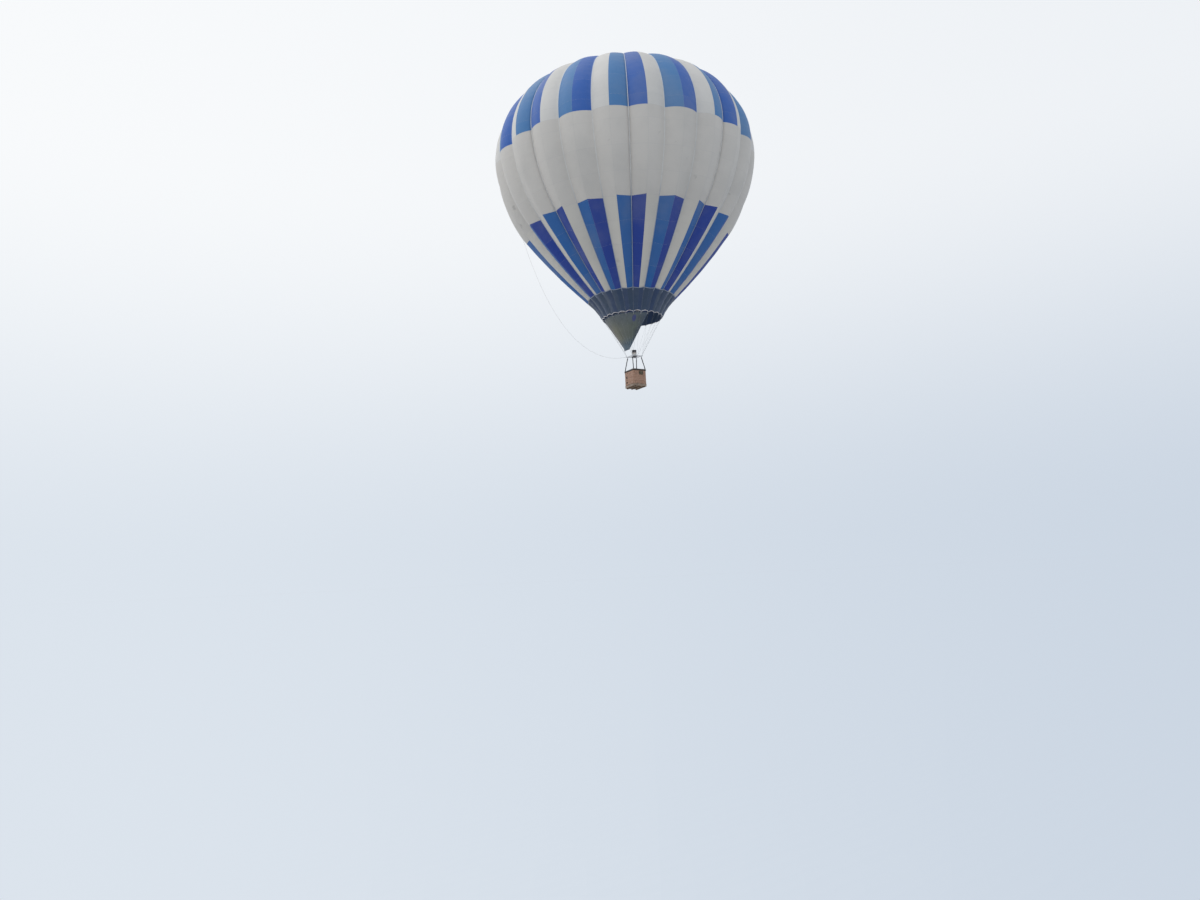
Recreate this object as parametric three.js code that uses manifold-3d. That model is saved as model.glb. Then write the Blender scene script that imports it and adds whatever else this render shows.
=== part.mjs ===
// A hot air balloon: envelope, rigging, burner and basket, in millimetres with +Z up.
// The origin is the envelope's centre of lift, on its axis. -Y is the near side, and azimuths
// are counted from it towards +X.
import * as THREE from "three";
import { mergeVertices } from "three/addons/utils/BufferGeometryUtils.js";
import Module from "manifold-3d";

const wasm = await Module();
wasm.setup();

// Heights of the three groups, from the centre of lift
const MOUTH_HEIGHT = -9400;
const FRAME_HEIGHT = -11790;
const BASKET_HEIGHT = -13840;
const BASKET_TURN = THREE.MathUtils.degToRad(30);

// Envelope: the gores' crest line from the mouth to the crown, as arcs that meet tangentially.
// length is the arc's length, slope its end angle from the vertical, in degrees.
const GORES = 24;
const MOUTH_RADIUS = 1888;
const MOUTH_SLOPE = 26.1;
const CREST_ARCS = [
  { length: 1602, slope: 46.2 },
  { length: 5775, slope: 36.8 },
  { length: 4742, slope: 6.2 },
  { length: 2822, slope: -26.2 },
  { length: 3795, slope: -66.6 },
];
const CLOTH = 10;
// How the gores bulge at lengths from the mouth. dip is how far the load tapes lie inside the crest,
// as a share of the radius. fold goes from 0, a round bulge, to 1, two flat facets.
const GORE_FORM = [
  { length: 0, dip: 0.026, fold: 0 },
  { length: 1555, dip: 0.045, fold: 0.3 },
  { length: 7340, dip: 0.05, fold: 0.7 },
  { length: 12420, dip: 0.042, fold: 0 },
  { length: 17000, dip: 0.02, fold: 0 },
  { length: 22025, dip: 0.01, fold: 0 },
];
const GORE_STEPS = 4;
const RIM_RISE = 100; // the mouth's edge rises this far between two load tapes
// Seams round the envelope, as lengths along a gore from the mouth
const BAND_SEAM = 1555;
const LOWER_SEAM = 7340;
const BELLY_SEAM = 12420;
const OPENING_SEAM = 22025;
const SECTORS = 8;
const SEAM_GAP = 0.4;

// Crown: load tapes over the opening, and the valve panel that closes it from inside
const CROWN_RING_RADIUS = 150;
const CROWN_RING_BAR = 12;
const TAPE_WIDTH = 36;
const TAPE_THICKNESS = 6;
const TAPE_LIFT = 14;
const TAPE_OVERLAP = 260;
const VALVE_RADIUS = 2200;
const VALVE_INSET = 26;

// Scoop: a half cone of cloth under the mouth, between two load tapes
const SCOOP_FROM = -150;
const SCOOP_TO = 30;
const SCOOP_TUCK = 92;
const SCOOP_DROP = 2030;
const SCOOP_EDGE_OUT = 530;
const SCOOP_EDGE_HALF = 300;

const SCOOP_RIM_DROP = 12;

// Burner frame, with the lugs that the karabiners hang on and the bosses for the gimbal ring
const FRAME_HALF_X = 331;
const FRAME_HALF_Y = 291;
const FRAME_TUBE = 19;
const POST = { radius: 29, drop: 90, rise: 23 };
const LUG = { out: 48, hole: 15, thickness: 8, length: 92, height: 56, setback: 16 };
const KARABINER = { radius: 30, bar: 6 };
const WIRE_EYE = 14;
const WIRE_RADIUS = 3;
const WIRE_RISE = 16;
const BOSS = { radius: 21, inner: 268, pinGap: 12 };

// Gimbal ring: its pins turn in the frame's bosses, and the burner's pins in its sleeves
const RING_RADIUS = 215;
const RING_BAR = 12.5;
const RING_PIN_END = 288;
const SLEEVE = { radius: 19, inner: 197, outer: 235 };
const PIN_RADIUS = 8;
const PIN_HOLE = 8.6;

// Burner
const BAND = { radius: 148, thickness: 5, half: 15, pinEnd: 239 };
const HUB = { radius: 34, half: 12 };
const SPOKE = { count: 3, width: 12, height: 16, turn: 30 };
const CAN = { radius: 140, thickness: 4, flare: 2, bottom: 20, top: 400 };
const COIL = { turns: 5, pitch: 56, bottom: 40, inner: 106, valley: 116, ridge: 124 };
const JETS = { radius: 62, bar: 9, height: 46, stem: 14 };
const BLOCK = { x: 110, y: 64, z: 52, gap: 0.4 };
const PILOT_VALVE = { x: 60, y: 40, z: 26 };
const LEVER = { along: 34, from: [0, -60], to: [-120, -96], radius: 8 };
const INLET = { radius: 11, reach: 26 };

// Basket
const BASKET_HALF_X = 490;
const BASKET_HALF_Y = 560;
const BASKET_CORNER = 140;
const WALL = 24;
const WALL_BOTTOM = 74;
const RIM_BOTTOM = 1030;
const RIM_TOP = 1140;
const RIM_WIDTH = 62;
const SKID_HEIGHT = 52;
const SKID = { width: 70, length: 1010, spacing: 330 };
const FLOOR_THICKNESS = 20;
const BOTTOM_EDGE = { out: 9, top: 190 };
const FOOT_HOLE = { width: 110, height: 85, along: 250, levels: [360, 700] };
const UPRIGHT = { radius: 28, footX: 432, footY: 502, gap: 8 };
const CYLINDER_RADIUS = 140;
const POUCH = { width: 300, depth: 26, height: 220, along: 60, level: 880 };
const FIT = 0.4; // the gap between pieces that touch

const Z_AXIS = new THREE.Vector3(0, 0, 1);
const radians = THREE.MathUtils.degToRad;

// Materials, one for each kind of finish
const finish = (color, roughness, metalness = 0) =>
  new THREE.MeshStandardMaterial({ color, roughness, metalness });
const STRIPED_CLOTH = finish(0x4a74b0, 0.6);
const WHITE_CLOTH = finish(0xc8c8c6, 0.6);
const BAND_CLOTH = finish(0x3c4b64, 0.7);
const SCOOP_CLOTH = finish(0x5f645a, 0.75);
const TAPE_CLOTH = finish(0xb8bcc4, 0.7);
const STEEL = finish(0x9a9ca0, 0.35, 1);
const DARK_STEEL = finish(0x3a3b3d, 0.45, 0.9);
const ROPE = finish(0x8a8f96, 0.8);
const WICKER = finish(0xa57d64, 0.75);
const HIDE = finish(0x2d2723, 0.7);
const PLYWOOD = finish(0x9c7a50, 0.6);
const ALUMINIUM = finish(0xa8abad, 0.4, 0.9);

// A closed geometry as a solid that can be joined and cut
function asSolid(geometry) {
  const bare = geometry.clone();
  bare.deleteAttribute("normal");
  bare.deleteAttribute("uv");
  const merged = mergeVertices(bare, 1e-3);
  return new wasm.Manifold(
    new wasm.Mesh({
      numProp: 3,
      vertProperties: new Float32Array(merged.attributes.position.array),
      triVerts: new Uint32Array(merged.index.array),
    }),
  );
}

function asGeometry(solid) {
  const mesh = solid.getMesh();
  return new THREE.BufferGeometry()
    .setAttribute(
      "position",
      new THREE.BufferAttribute(mesh.vertProperties, 3),
    )
    .setIndex(new THREE.BufferAttribute(mesh.triVerts, 1));
}

function join(geometries) {
  return asGeometry(
    geometries.map(asSolid).reduce((whole, next) => whole.add(next)),
  );
}

function cut(geometry, tools) {
  return asGeometry(
    tools
      .map(asSolid)
      .reduce((whole, tool) => whole.subtract(tool), asSolid(geometry)),
  );
}

// A named mesh in a group
function piece(group, name, material, geometry) {
  const mesh = new THREE.Mesh(geometry, material);
  mesh.name = name;
  group.add(mesh);
  return mesh;
}

const vector = (x, y, z) => new THREE.Vector3(x, y, z);
const at = (geometry, x, y, z) => geometry.translate(x, y, z);
const box = (x, y, z) => new THREE.BoxGeometry(x, y, z);

// A straight bar between two points
function rod(from, to, radius, sides = 8) {
  const along = to.clone().sub(from);
  const turn = new THREE.Quaternion().setFromUnitVectors(
    vector(0, 1, 0),
    along.clone().normalize(),
  );
  return new THREE.CylinderGeometry(radius, radius, along.length(), sides)
    .applyQuaternion(turn)
    .translate(...from.clone().add(to).divideScalar(2).toArray());
}

// A turned shape about +Z from a closed profile of [radius, height] points
function turned(profile, segments) {
  return new THREE.LatheGeometry(
    profile.map(([radius, height]) => new THREE.Vector2(radius, height)),
    segments,
  ).rotateX(Math.PI / 2);
}

// A sheet with thickness between two surfaces of (across, along), each from 0 to 1.
// round closes it on itself across.
function sheet(columns, rows, outer, inner, round = false) {
  const wide = round ? columns : columns + 1;
  const position = [];
  for (const surface of [outer, inner])
    for (let j = 0; j <= rows; j++)
      for (let i = 0; i < wide; i++)
        position.push(...surface(i / columns, j / rows).toArray());
  const corner = (side, i, j) => (side * (rows + 1) + j) * wide + (i % wide);
  const index = [];
  const quad = (a, b, c, d) => index.push(a, b, c, a, c, d);
  for (let i = 0; i < columns; i++) {
    for (let j = 0; j < rows; j++) {
      quad(corner(0, i, j), corner(0, i + 1, j), corner(0, i + 1, j + 1), corner(0, i, j + 1));
      quad(corner(1, i, j), corner(1, i, j + 1), corner(1, i + 1, j + 1), corner(1, i + 1, j));
    }
    quad(corner(1, i, 0), corner(1, i + 1, 0), corner(0, i + 1, 0), corner(0, i, 0));
    quad(corner(0, i, rows), corner(0, i + 1, rows), corner(1, i + 1, rows), corner(1, i, rows));
  }
  for (let j = 0; j < rows && !round; j++) {
    quad(corner(1, 0, j), corner(0, 0, j), corner(0, 0, j + 1), corner(1, 0, j + 1));
    quad(
      corner(0, columns, j),
      corner(1, columns, j),
      corner(1, columns, j + 1),
      corner(0, columns, j + 1),
    );
  }
  return new THREE.BufferGeometry()
    .setAttribute("position", new THREE.Float32BufferAttribute(position, 3))
    .setIndex(index);
}

// The crest line: radius, height above the mouth and slope at a length from the mouth.
// After the last arc it is a cap centred on the axis.
function crest(length) {
  let radius = MOUTH_RADIUS;
  let height = 0;
  let slope = radians(MOUTH_SLOPE);
  let left = length;
  for (const arc of CREST_ARCS) {
    const bend = (radians(arc.slope) - slope) / arc.length;
    const part = Math.min(left, arc.length);
    const end = slope + bend * part;
    radius += (Math.cos(slope) - Math.cos(end)) / bend;
    height += (Math.sin(end) - Math.sin(slope)) / bend;
    slope = end;
    left -= part;
    if (left <= 0) return { radius, height, slope };
  }
  const capRadius = radius / Math.cos(slope);
  const end = slope - left / capRadius;
  height += capRadius * (Math.sin(slope) - Math.sin(end));
  return { radius: capRadius * Math.cos(end), height, slope: end };
}

// The length from the mouth at which the cap reaches a radius
function capLength(radius) {
  const arcs = CREST_ARCS.reduce((sum, arc) => sum + arc.length, 0);
  const start = crest(arcs);
  const capRadius = start.radius / Math.cos(start.slope);
  return arcs + capRadius * (start.slope + Math.acos(radius / capRadius));
}

// A point on the crest line moved inwards along its normal, as radius and height
function insetPoint(length, inset) {
  const { radius, height, slope } = crest(length);
  return { radius: radius - inset * Math.cos(slope), height: height + inset * Math.sin(slope) };
}

// The gores' form at a length, in between those of the table. valley is how deep the tapes lie.
function goreForm(length) {
  const after = GORE_FORM.findIndex((form) => form.length >= length);
  const high = GORE_FORM[after < 0 ? GORE_FORM.length - 1 : after];
  const low = after > 0 ? GORE_FORM[after - 1] : high;
  const share = high === low ? 0 : (length - low.length) / (high.length - low.length);
  return {
    valley: THREE.MathUtils.lerp(low.dip, high.dip, share) * crest(length).radius,
    fold: THREE.MathUtils.lerp(low.fold, high.fold, share),
  };
}

// A point on the gored surface: each gore bulges from its load tapes to its crest
function skin(azimuth, length, inset = 0) {
  const gore = (2 * Math.PI) / GORES;
  const across = (azimuth / gore) % 1;
  const share = across < 0 ? across + 1 : across;
  const { valley, fold } = goreForm(length);
  const bulge = THREE.MathUtils.lerp(4 * share * (1 - share), 1 - Math.abs(2 * share - 1), fold);
  const { radius, height } = insetPoint(length, valley * (1 - bulge) + inset);
  return vector(radius * Math.sin(azimuth), -radius * Math.cos(azimuth), height);
}

const balloon = new THREE.Group();

// Envelope
const envelope = new THREE.Group();
envelope.position.z = MOUTH_HEIGHT;
balloon.add(envelope);

// Three zones of panels, each in sectors of three gores
const ZONES = [
  { name: "lower_panels", from: BAND_SEAM, to: LOWER_SEAM, rows: 3, material: STRIPED_CLOTH },
  { name: "belly_panels", from: LOWER_SEAM, to: BELLY_SEAM, rows: 4, material: WHITE_CLOTH },
  { name: "crown_panels", from: BELLY_SEAM, to: OPENING_SEAM, rows: 6, material: STRIPED_CLOTH },
];
for (const zone of ZONES)
  for (let sector = 0; sector < SECTORS; sector++) {
    const surface = (inset) => (across, along) => {
      const low = zone.from + SEAM_GAP / 2;
      const high = zone.to - SEAM_GAP / 2;
      const length = low + along * (high - low);
      const gap = SEAM_GAP / 2 / crest(length).radius;
      const width = (2 * Math.PI) / SECTORS - 2 * gap;
      return skin((sector / SECTORS) * 2 * Math.PI + gap + across * width, length, inset);
    };
    piece(
      envelope,
      `${zone.name}_${sector + 1}`,
      zone.material,
      sheet((GORES / SECTORS) * GORE_STEPS, zone.rows, surface(0), surface(CLOTH)),
    );
  }

// Mouth band, its lower edge drawn down at the load tapes
function bandSurface(inset) {
  return (across, along) => {
    const azimuth = across * 2 * Math.PI;
    const share = (across * GORES) % 1;
    const edge = RIM_RISE * 4 * share * (1 - share);
    const top = BAND_SEAM - SEAM_GAP / 2;
    return skin(azimuth, edge + along * (top - edge), inset);
  };
}
piece(
  envelope,
  "mouth_band",
  BAND_CLOTH,
  sheet(GORES * GORE_STEPS, 2, bandSurface(0), bandSurface(CLOTH), true),
);

// Valve panel: a shallow cap under the load tapes, wider than the opening
function valvePanel() {
  const edge = capLength(VALVE_RADIUS);
  const top = capLength(0);
  const steps = 3;
  const profile = [];
  for (const [extra, order] of [[0, 1], [CLOTH, -1]])
    for (let i = 0; i <= steps; i++) {
      const k = order > 0 ? i : steps - i;
      const length = edge + ((top - edge) * k) / steps;
      const inset = goreForm(length).valley + VALVE_INSET + extra;
      const { radius, height } = insetPoint(length, inset);
      profile.push([k === steps ? 0 : radius, height]);
    }
  return turned([...profile, profile[0]], GORES);
}
piece(envelope, "valve_panel", STRIPED_CLOTH, valvePanel());

// Crown ring with the load tapes that cross the opening
function crownTape(azimuth) {
  const from = OPENING_SEAM - TAPE_OVERLAP;
  const to = capLength(CROWN_RING_RADIUS);
  const steps = 2;
  const outline = [];
  for (const [lift, order] of [[TAPE_LIFT, 1], [TAPE_LIFT + TAPE_THICKNESS, -1]])
    for (let i = 0; i <= steps; i++) {
      const k = order > 0 ? i : steps - i;
      const length = from + ((to - from) * k) / steps;
      const point = insetPoint(length, goreForm(length).valley - lift);
      outline.push(new THREE.Vector2(point.radius, point.height));
    }
  return new THREE.ExtrudeGeometry(new THREE.Shape(outline), {
    depth: TAPE_WIDTH,
    bevelEnabled: false,
    steps: 1,
  })
    .translate(0, 0, -TAPE_WIDTH / 2)
    .rotateX(Math.PI / 2)
    .rotateZ(azimuth - Math.PI / 2);
}
const ringLength = capLength(CROWN_RING_RADIUS);
const ringHeight = insetPoint(ringLength, goreForm(ringLength).valley - TAPE_LIFT).height;
const tapes = Array.from({ length: GORES }, (_, i) => crownTape((i / GORES) * 2 * Math.PI));
const crownRing = new THREE.TorusGeometry(CROWN_RING_RADIUS, CROWN_RING_BAR, 6, 24);
piece(
  envelope,
  "crown_ring",
  TAPE_CLOTH,
  join([crownRing.translate(0, 0, ringHeight + CROWN_RING_BAR / 2), ...tapes]),
);

// Burner frame: the corner points, in the order near, right, far, left
const turnToBasket = (point) => point.clone().applyAxisAngle(Z_AXIS, BASKET_TURN);
const CORNERS = [
  { name: "near", x: -1, y: -1, firstTape: -4 },
  { name: "right", x: 1, y: -1, firstTape: 2 },
  { name: "far", x: 1, y: 1, firstTape: 8 },
  { name: "left", x: -1, y: 1, firstTape: 14 },
];
const lugPoint = (corner) =>
  vector(corner.x * (FRAME_HALF_X + LUG.out), corner.y * (FRAME_HALF_Y + LUG.out), 0);

// Scoop: straight lines from the mouth's rim down to the short lower edge, inside the wires
function scoopSurface(inset) {
  return (across, along) => {
    const azimuth = radians(SCOOP_FROM + across * (SCOOP_TO - SCOOP_FROM));
    const radius = MOUTH_RADIUS - SCOOP_TUCK - inset;
    const rim = vector(radius * Math.sin(azimuth), -radius * Math.cos(azimuth), -SCOOP_RIM_DROP);
    const side = SCOOP_EDGE_HALF * (1 - 2 * across);
    const edge = turnToBasket(vector(-SCOOP_EDGE_OUT + inset, side, -SCOOP_DROP));
    return edge.lerp(rim, along);
  };
}
piece(
  envelope,
  "scoop",
  SCOOP_CLOTH,
  sheet(24, 4, scoopSurface(0), scoopSurface(CLOTH)),
);

// Flying wires: six from the mouth's tapes to each corner, with the karabiner that holds them
const rigging = new THREE.Group();
rigging.position.z = MOUTH_HEIGHT;
balloon.add(rigging);
const WIRES_PER_CORNER = GORES / CORNERS.length;
for (const corner of CORNERS) {
  const lug = turnToBasket(lugPoint(corner)).setZ(FRAME_HEIGHT - MOUTH_HEIGHT);
  const eye = lug.clone().setZ(lug.z + 2 * KARABINER.radius);
  const bearing = Math.atan2(lug.y, lug.x);
  const parts = [
    new THREE.TorusGeometry(KARABINER.radius, KARABINER.bar, 5, 10)
      .rotateX(Math.PI / 2)
      .rotateZ(bearing + Math.PI / 2)
      .translate(lug.x, lug.y, lug.z + KARABINER.radius),
    at(new THREE.SphereGeometry(WIRE_EYE, 6, 4), eye.x, eye.y, eye.z + KARABINER.bar),
  ];
  for (let i = 0; i < WIRES_PER_CORNER; i++) {
    const azimuth = ((corner.firstTape + i) / GORES) * 2 * Math.PI;
    const radius = MOUTH_RADIUS - goreForm(0).valley - WIRE_RADIUS;
    const top = vector(radius * Math.sin(azimuth), -radius * Math.cos(azimuth), WIRE_RISE);
    parts.push(rod(eye, top, WIRE_RADIUS, 4));
  }
  piece(rigging, `flying_wires_${corner.name}`, STEEL, join(parts));
}

// Crown line: down the valley of one load tape, then hanging free to the burner frame.
// Points are from the mouth's centre.
const CROWN_LINE_RADIUS = 5;
const CROWN_LINE_TAPE = radians(-75);
const CROWN_LINE_LIFT = 36;
const CROWN_LINE_LENGTHS = [
  23880, 22600, 21200, 19800, 18400, 17000, 15600, 14300, 13100, 12250,
];
const CROWN_LINE_FREE = [
  [-7680, -2058, 9320],
  [-7467, -1994, 8257],
  [-7237, -1925, 7198],
  [-6986, -1849, 6144],
  [-6711, -1767, 5097],
  [-6408, -1676, 4058],
  [-6069, -1574, 3031],
  [-5686, -1459, 2021],
  [-5248, -1327, 1037],
  [-4739, -1174, 91],
  [-4135, -993, -793],
  [-3411, -775, -1570],
  [-2543, -514, -2163],
  [-1547, -215, -2456],
  [-880, -15, -2447],
  [-541, 98, -2372],
];
const crownLinePoints = [
  ...CROWN_LINE_LENGTHS.map((length) => skin(CROWN_LINE_TAPE, length, -CROWN_LINE_LIFT)),
  ...CROWN_LINE_FREE.map(([x, y, z]) => vector(x, y, z)),
];
const lineSection = new THREE.Shape(
  Array.from({ length: 8 }, (_, i) => {
    const turn = (i / 8) * 2 * Math.PI;
    return new THREE.Vector2(Math.cos(turn), Math.sin(turn)).multiplyScalar(CROWN_LINE_RADIUS);
  }),
);
piece(
  rigging,
  "crown_line",
  ROPE,
  new THREE.ExtrudeGeometry(lineSection, {
    extrudePath: new THREE.CatmullRomCurve3(crownLinePoints, false, "centripetal"),
    steps: 66,
    bevelEnabled: false,
  }),
);

// Burner frame: four tubes, corner blocks, lugs for the karabiners, bosses for the gimbal ring
const burner = new THREE.Group();
burner.position.z = FRAME_HEIGHT;
burner.rotation.z = BASKET_TURN;
balloon.add(burner);
function burnerFrame() {
  const post = (corner, z) => vector(corner.x * FRAME_HALF_X, corner.y * FRAME_HALF_Y, z);
  const parts = CORNERS.map((corner, i) => {
    const next = CORNERS[(i + 1) % CORNERS.length];
    return rod(post(corner, 0), post(next, 0), FRAME_TUBE, 10);
  });
  const holes = [];
  for (const corner of CORNERS) {
    const bearing = Math.atan2(corner.y * FRAME_HALF_Y, corner.x * FRAME_HALF_X);
    const lug = lugPoint(corner);
    const plate = lug.clone().sub(vector(LUG.setback, 0, 0).applyAxisAngle(Z_AXIS, bearing));
    parts.push(
      rod(post(corner, -POST.drop), post(corner, POST.rise), POST.radius, 10),
      box(LUG.length, LUG.thickness, LUG.height).rotateZ(bearing).translate(plate.x, plate.y, 0),
    );
    holes.push(
      new THREE.CylinderGeometry(LUG.hole, LUG.hole, 5 * LUG.thickness, 12)
        .rotateZ(bearing)
        .translate(lug.x, lug.y, 0),
    );
  }
  for (const side of [-1, 1]) {
    const along = (x) => vector(side * x, 0, 0);
    parts.push(rod(along(BOSS.inner), along(FRAME_HALF_X), BOSS.radius, 12));
    holes.push(rod(along(BOSS.inner - 5), along(RING_PIN_END + BOSS.pinGap), PIN_HOLE, 16));
  }
  return cut(join(parts), holes);
}
piece(burner, "burner_frame", STEEL, burnerFrame());

// Gimbal ring: turns on the frame about the burner group's X axis, carries the burner on Y
function gimbalRing() {
  const parts = [new THREE.TorusGeometry(RING_RADIUS, RING_BAR, 6, 28)];
  const holes = [];
  for (const side of [-1, 1]) {
    const across = (y) => vector(0, side * y, 0);
    parts.push(
      rod(vector(side * RING_RADIUS, 0, 0), vector(side * RING_PIN_END, 0, 0), PIN_RADIUS, 12),
      rod(across(SLEEVE.inner), across(SLEEVE.outer), SLEEVE.radius, 12),
    );
    holes.push(rod(across(SLEEVE.inner - 12), across(SLEEVE.outer + 12), PIN_HOLE, 16));
  }
  return cut(join(parts), holes);
}
piece(burner, "gimbal_ring", STEEL, gimbalRing());

// A hoop of sheet, as a closed profile of its inner and outer radius at two heights
const hoop = (radius, thickness, bottom, top, flare = 0) => [
  [radius - thickness, bottom],
  [radius, bottom],
  [radius + flare, top],
  [radius + flare - thickness, top],
  [radius - thickness, bottom],
];

// Burner band: the hoop that the can stands on, with its two pins and the spokes of the hub
function burnerBand() {
  const parts = [
    turned(hoop(BAND.radius, BAND.thickness, -BAND.half, BAND.half), 24),
    rod(vector(0, 0, -HUB.half), vector(0, 0, HUB.half), HUB.radius, 12),
  ];
  for (const side of [-1, 1])
    parts.push(
      rod(
        vector(0, side * (BAND.radius - BAND.thickness + 1), 0),
        vector(0, side * BAND.pinEnd, 0),
        PIN_RADIUS,
        12,
      ),
    );
  const reach = BAND.radius - BAND.thickness + 2;
  for (let i = 0; i < SPOKE.count; i++)
    parts.push(
      at(box(reach, SPOKE.width, SPOKE.height), reach / 2, 0, 0).rotateZ(
        radians(SPOKE.turn + (i * 360) / SPOKE.count),
      ),
    );
  return join(parts);
}
piece(burner, "burner_band", STEEL, burnerBand());

// Can: a thin flared hoop of sheet round the coil
piece(
  burner,
  "burner_can",
  DARK_STEEL,
  turned(hoop(CAN.radius, CAN.thickness, CAN.bottom, CAN.top, CAN.flare), 24),
);

// Coil: the vaporising pipe wound inside the can, as one ribbed hoop
function burnerCoil() {
  const level = (turns) => COIL.bottom + turns * COIL.pitch;
  const profile = [[COIL.inner, level(0)], [COIL.valley, level(0)]];
  for (let i = 0; i < COIL.turns; i++)
    profile.push([COIL.ridge, level(i + 0.5)], [COIL.valley, level(i + 1)]);
  profile.push([COIL.inner, level(COIL.turns)], profile[0]);
  return turned(profile, 16);
}
piece(burner, "burner_coil", STEEL, burnerCoil());

// Jet ring on the hub
piece(
  burner,
  "jet_ring",
  STEEL,
  join([
    new THREE.TorusGeometry(JETS.radius, JETS.bar, 6, 16).translate(0, 0, JETS.height),
    rod(vector(0, 0, HUB.half + FIT), vector(0, 0, JETS.height + 10), JETS.stem, 10),
    at(box(2 * JETS.radius, 10, 10), 0, 0, JETS.height),
    at(box(10, 2 * JETS.radius, 10), 0, 0, JETS.height),
  ]),
);

// Valve block under the hub, with its two lever handles and the fuel hoses' two inlets
function valveBlock() {
  const top = -HUB.half - BLOCK.gap;
  const middle = top - BLOCK.z / 2;
  const parts = [
    at(box(BLOCK.x, BLOCK.y, BLOCK.z), 0, 0, middle),
    at(box(PILOT_VALVE.x, PILOT_VALVE.y, PILOT_VALVE.z), 0, 0, top - BLOCK.z - PILOT_VALVE.z / 2 + 3),
  ];
  for (const side of [-1, 1])
    parts.push(
      rod(
        vector(side * LEVER.along, ...LEVER.from),
        vector(side * LEVER.along, ...LEVER.to),
        LEVER.radius,
      ),
      rod(
        vector((side * BLOCK.x) / 4, 0, middle),
        vector(side * (BLOCK.x / 2 + INLET.reach), 0, middle),
        INLET.radius,
        10,
      ),
    );
  return join(parts);
}
piece(burner, "valve_block", ALUMINIUM, valveBlock());

// Basket
const basket = new THREE.Group();
basket.position.z = BASKET_HEIGHT;
basket.rotation.z = BASKET_TURN;
balloon.add(basket);

// A rectangle with round corners, grown outwards by a margin
function plan(margin, corner = BASKET_CORNER) {
  const x = BASKET_HALF_X + margin;
  const y = BASKET_HALF_Y + margin;
  const r = corner + margin;
  const shape = new THREE.Shape();
  shape.moveTo(x, y - r);
  shape.absarc(x - r, y - r, r, 0, Math.PI / 2);
  shape.absarc(-x + r, y - r, r, Math.PI / 2, Math.PI);
  shape.absarc(-x + r, -y + r, r, Math.PI, 1.5 * Math.PI);
  shape.absarc(x - r, -y + r, r, 1.5 * Math.PI, 2 * Math.PI);
  return shape;
}
function ringSolid(outerMargin, innerMargin, bottom, top, curveSegments = 5) {
  const shape = plan(outerMargin);
  shape.holes.push(plan(innerMargin));
  return new THREE.ExtrudeGeometry(shape, { depth: top - bottom, bevelEnabled: false, curveSegments })
    .translate(0, 0, bottom);
}

// Wicker walls with two foot holes, one above the other
piece(
  basket,
  "basket_walls",
  WICKER,
  cut(
    ringSolid(0, -WALL, WALL_BOTTOM, RIM_BOTTOM),
    FOOT_HOLE.levels.map((level) =>
      at(box(4 * WALL, FOOT_HOLE.width, FOOT_HOLE.height), -BASKET_HALF_X, FOOT_HOLE.along, level),
    ),
  ),
);

// Padded rim: a roll of hide along the top of the walls
function paddedRim() {
  const outline = plan(-WALL / 2).getPoints(5);
  outline.pop();
  const count = outline.length;
  const middle = (RIM_BOTTOM + RIM_TOP) / 2;
  const tall = (RIM_TOP - RIM_BOTTOM) / 2 - FIT;
  const section = 8;
  const position = [];
  for (let i = 0; i < count; i++) {
    const before = outline[(i + count - 1) % count];
    const after = outline[(i + 1) % count];
    const out = new THREE.Vector2(after.y - before.y, before.x - after.x).normalize();
    for (let j = 0; j < section; j++) {
      const turn = ((j + 0.5) / section) * 2 * Math.PI;
      const reach = (RIM_WIDTH / 2) * Math.cos(turn) / Math.cos(Math.PI / section);
      position.push(
        outline[i].x + out.x * reach,
        outline[i].y + out.y * reach,
        middle + (tall * Math.sin(turn)) / Math.cos(Math.PI / section),
      );
    }
  }
  const index = [];
  for (let i = 0; i < count; i++)
    for (let j = 0; j < section; j++) {
      const a = i * section + j;
      const b = ((i + 1) % count) * section + j;
      const c = ((i + 1) % count) * section + ((j + 1) % section);
      const d = i * section + ((j + 1) % section);
      index.push(a, b, c, a, c, d);
    }
  return new THREE.BufferGeometry()
    .setAttribute("position", new THREE.Float32BufferAttribute(position, 3))
    .setIndex(index);
}
piece(basket, "padded_rim", HIDE, paddedRim());

// Bottom edge: the band of hide round the foot of the walls
piece(
  basket,
  "bottom_edge",
  HIDE,
  ringSolid(BOTTOM_EDGE.out, FIT, SKID_HEIGHT + FIT, BOTTOM_EDGE.top),
);

// Floor board, and the runners under it
piece(
  basket,
  "floor_board",
  PLYWOOD,
  new THREE.ExtrudeGeometry(plan(-FIT), {
    depth: FLOOR_THICKNESS,
    bevelEnabled: false,
    curveSegments: 5,
  }).translate(0, 0, SKID_HEIGHT + 2 * FIT),
);
[-1, 0, 1].forEach((side, i) => {
  const runner = box(SKID.width, SKID.length, SKID_HEIGHT);
  piece(basket, `skid_${i + 1}`, PLYWOOD, runner).position.set(
    side * SKID.spacing,
    0,
    SKID_HEIGHT / 2,
  );
});

// Uprights: padded sleeves from the rim's corners to the burner frame's sockets
for (const corner of CORNERS) {
  const foot = vector(corner.x * UPRIGHT.footX, corner.y * UPRIGHT.footY, RIM_TOP + UPRIGHT.gap);
  const head = vector(
    corner.x * FRAME_HALF_X,
    corner.y * FRAME_HALF_Y,
    FRAME_HEIGHT - BASKET_HEIGHT - POST.drop - UPRIGHT.gap,
  );
  piece(basket, `upright_${corner.name}`, HIDE, rod(foot, head, UPRIGHT.radius, 10));
}

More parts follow.
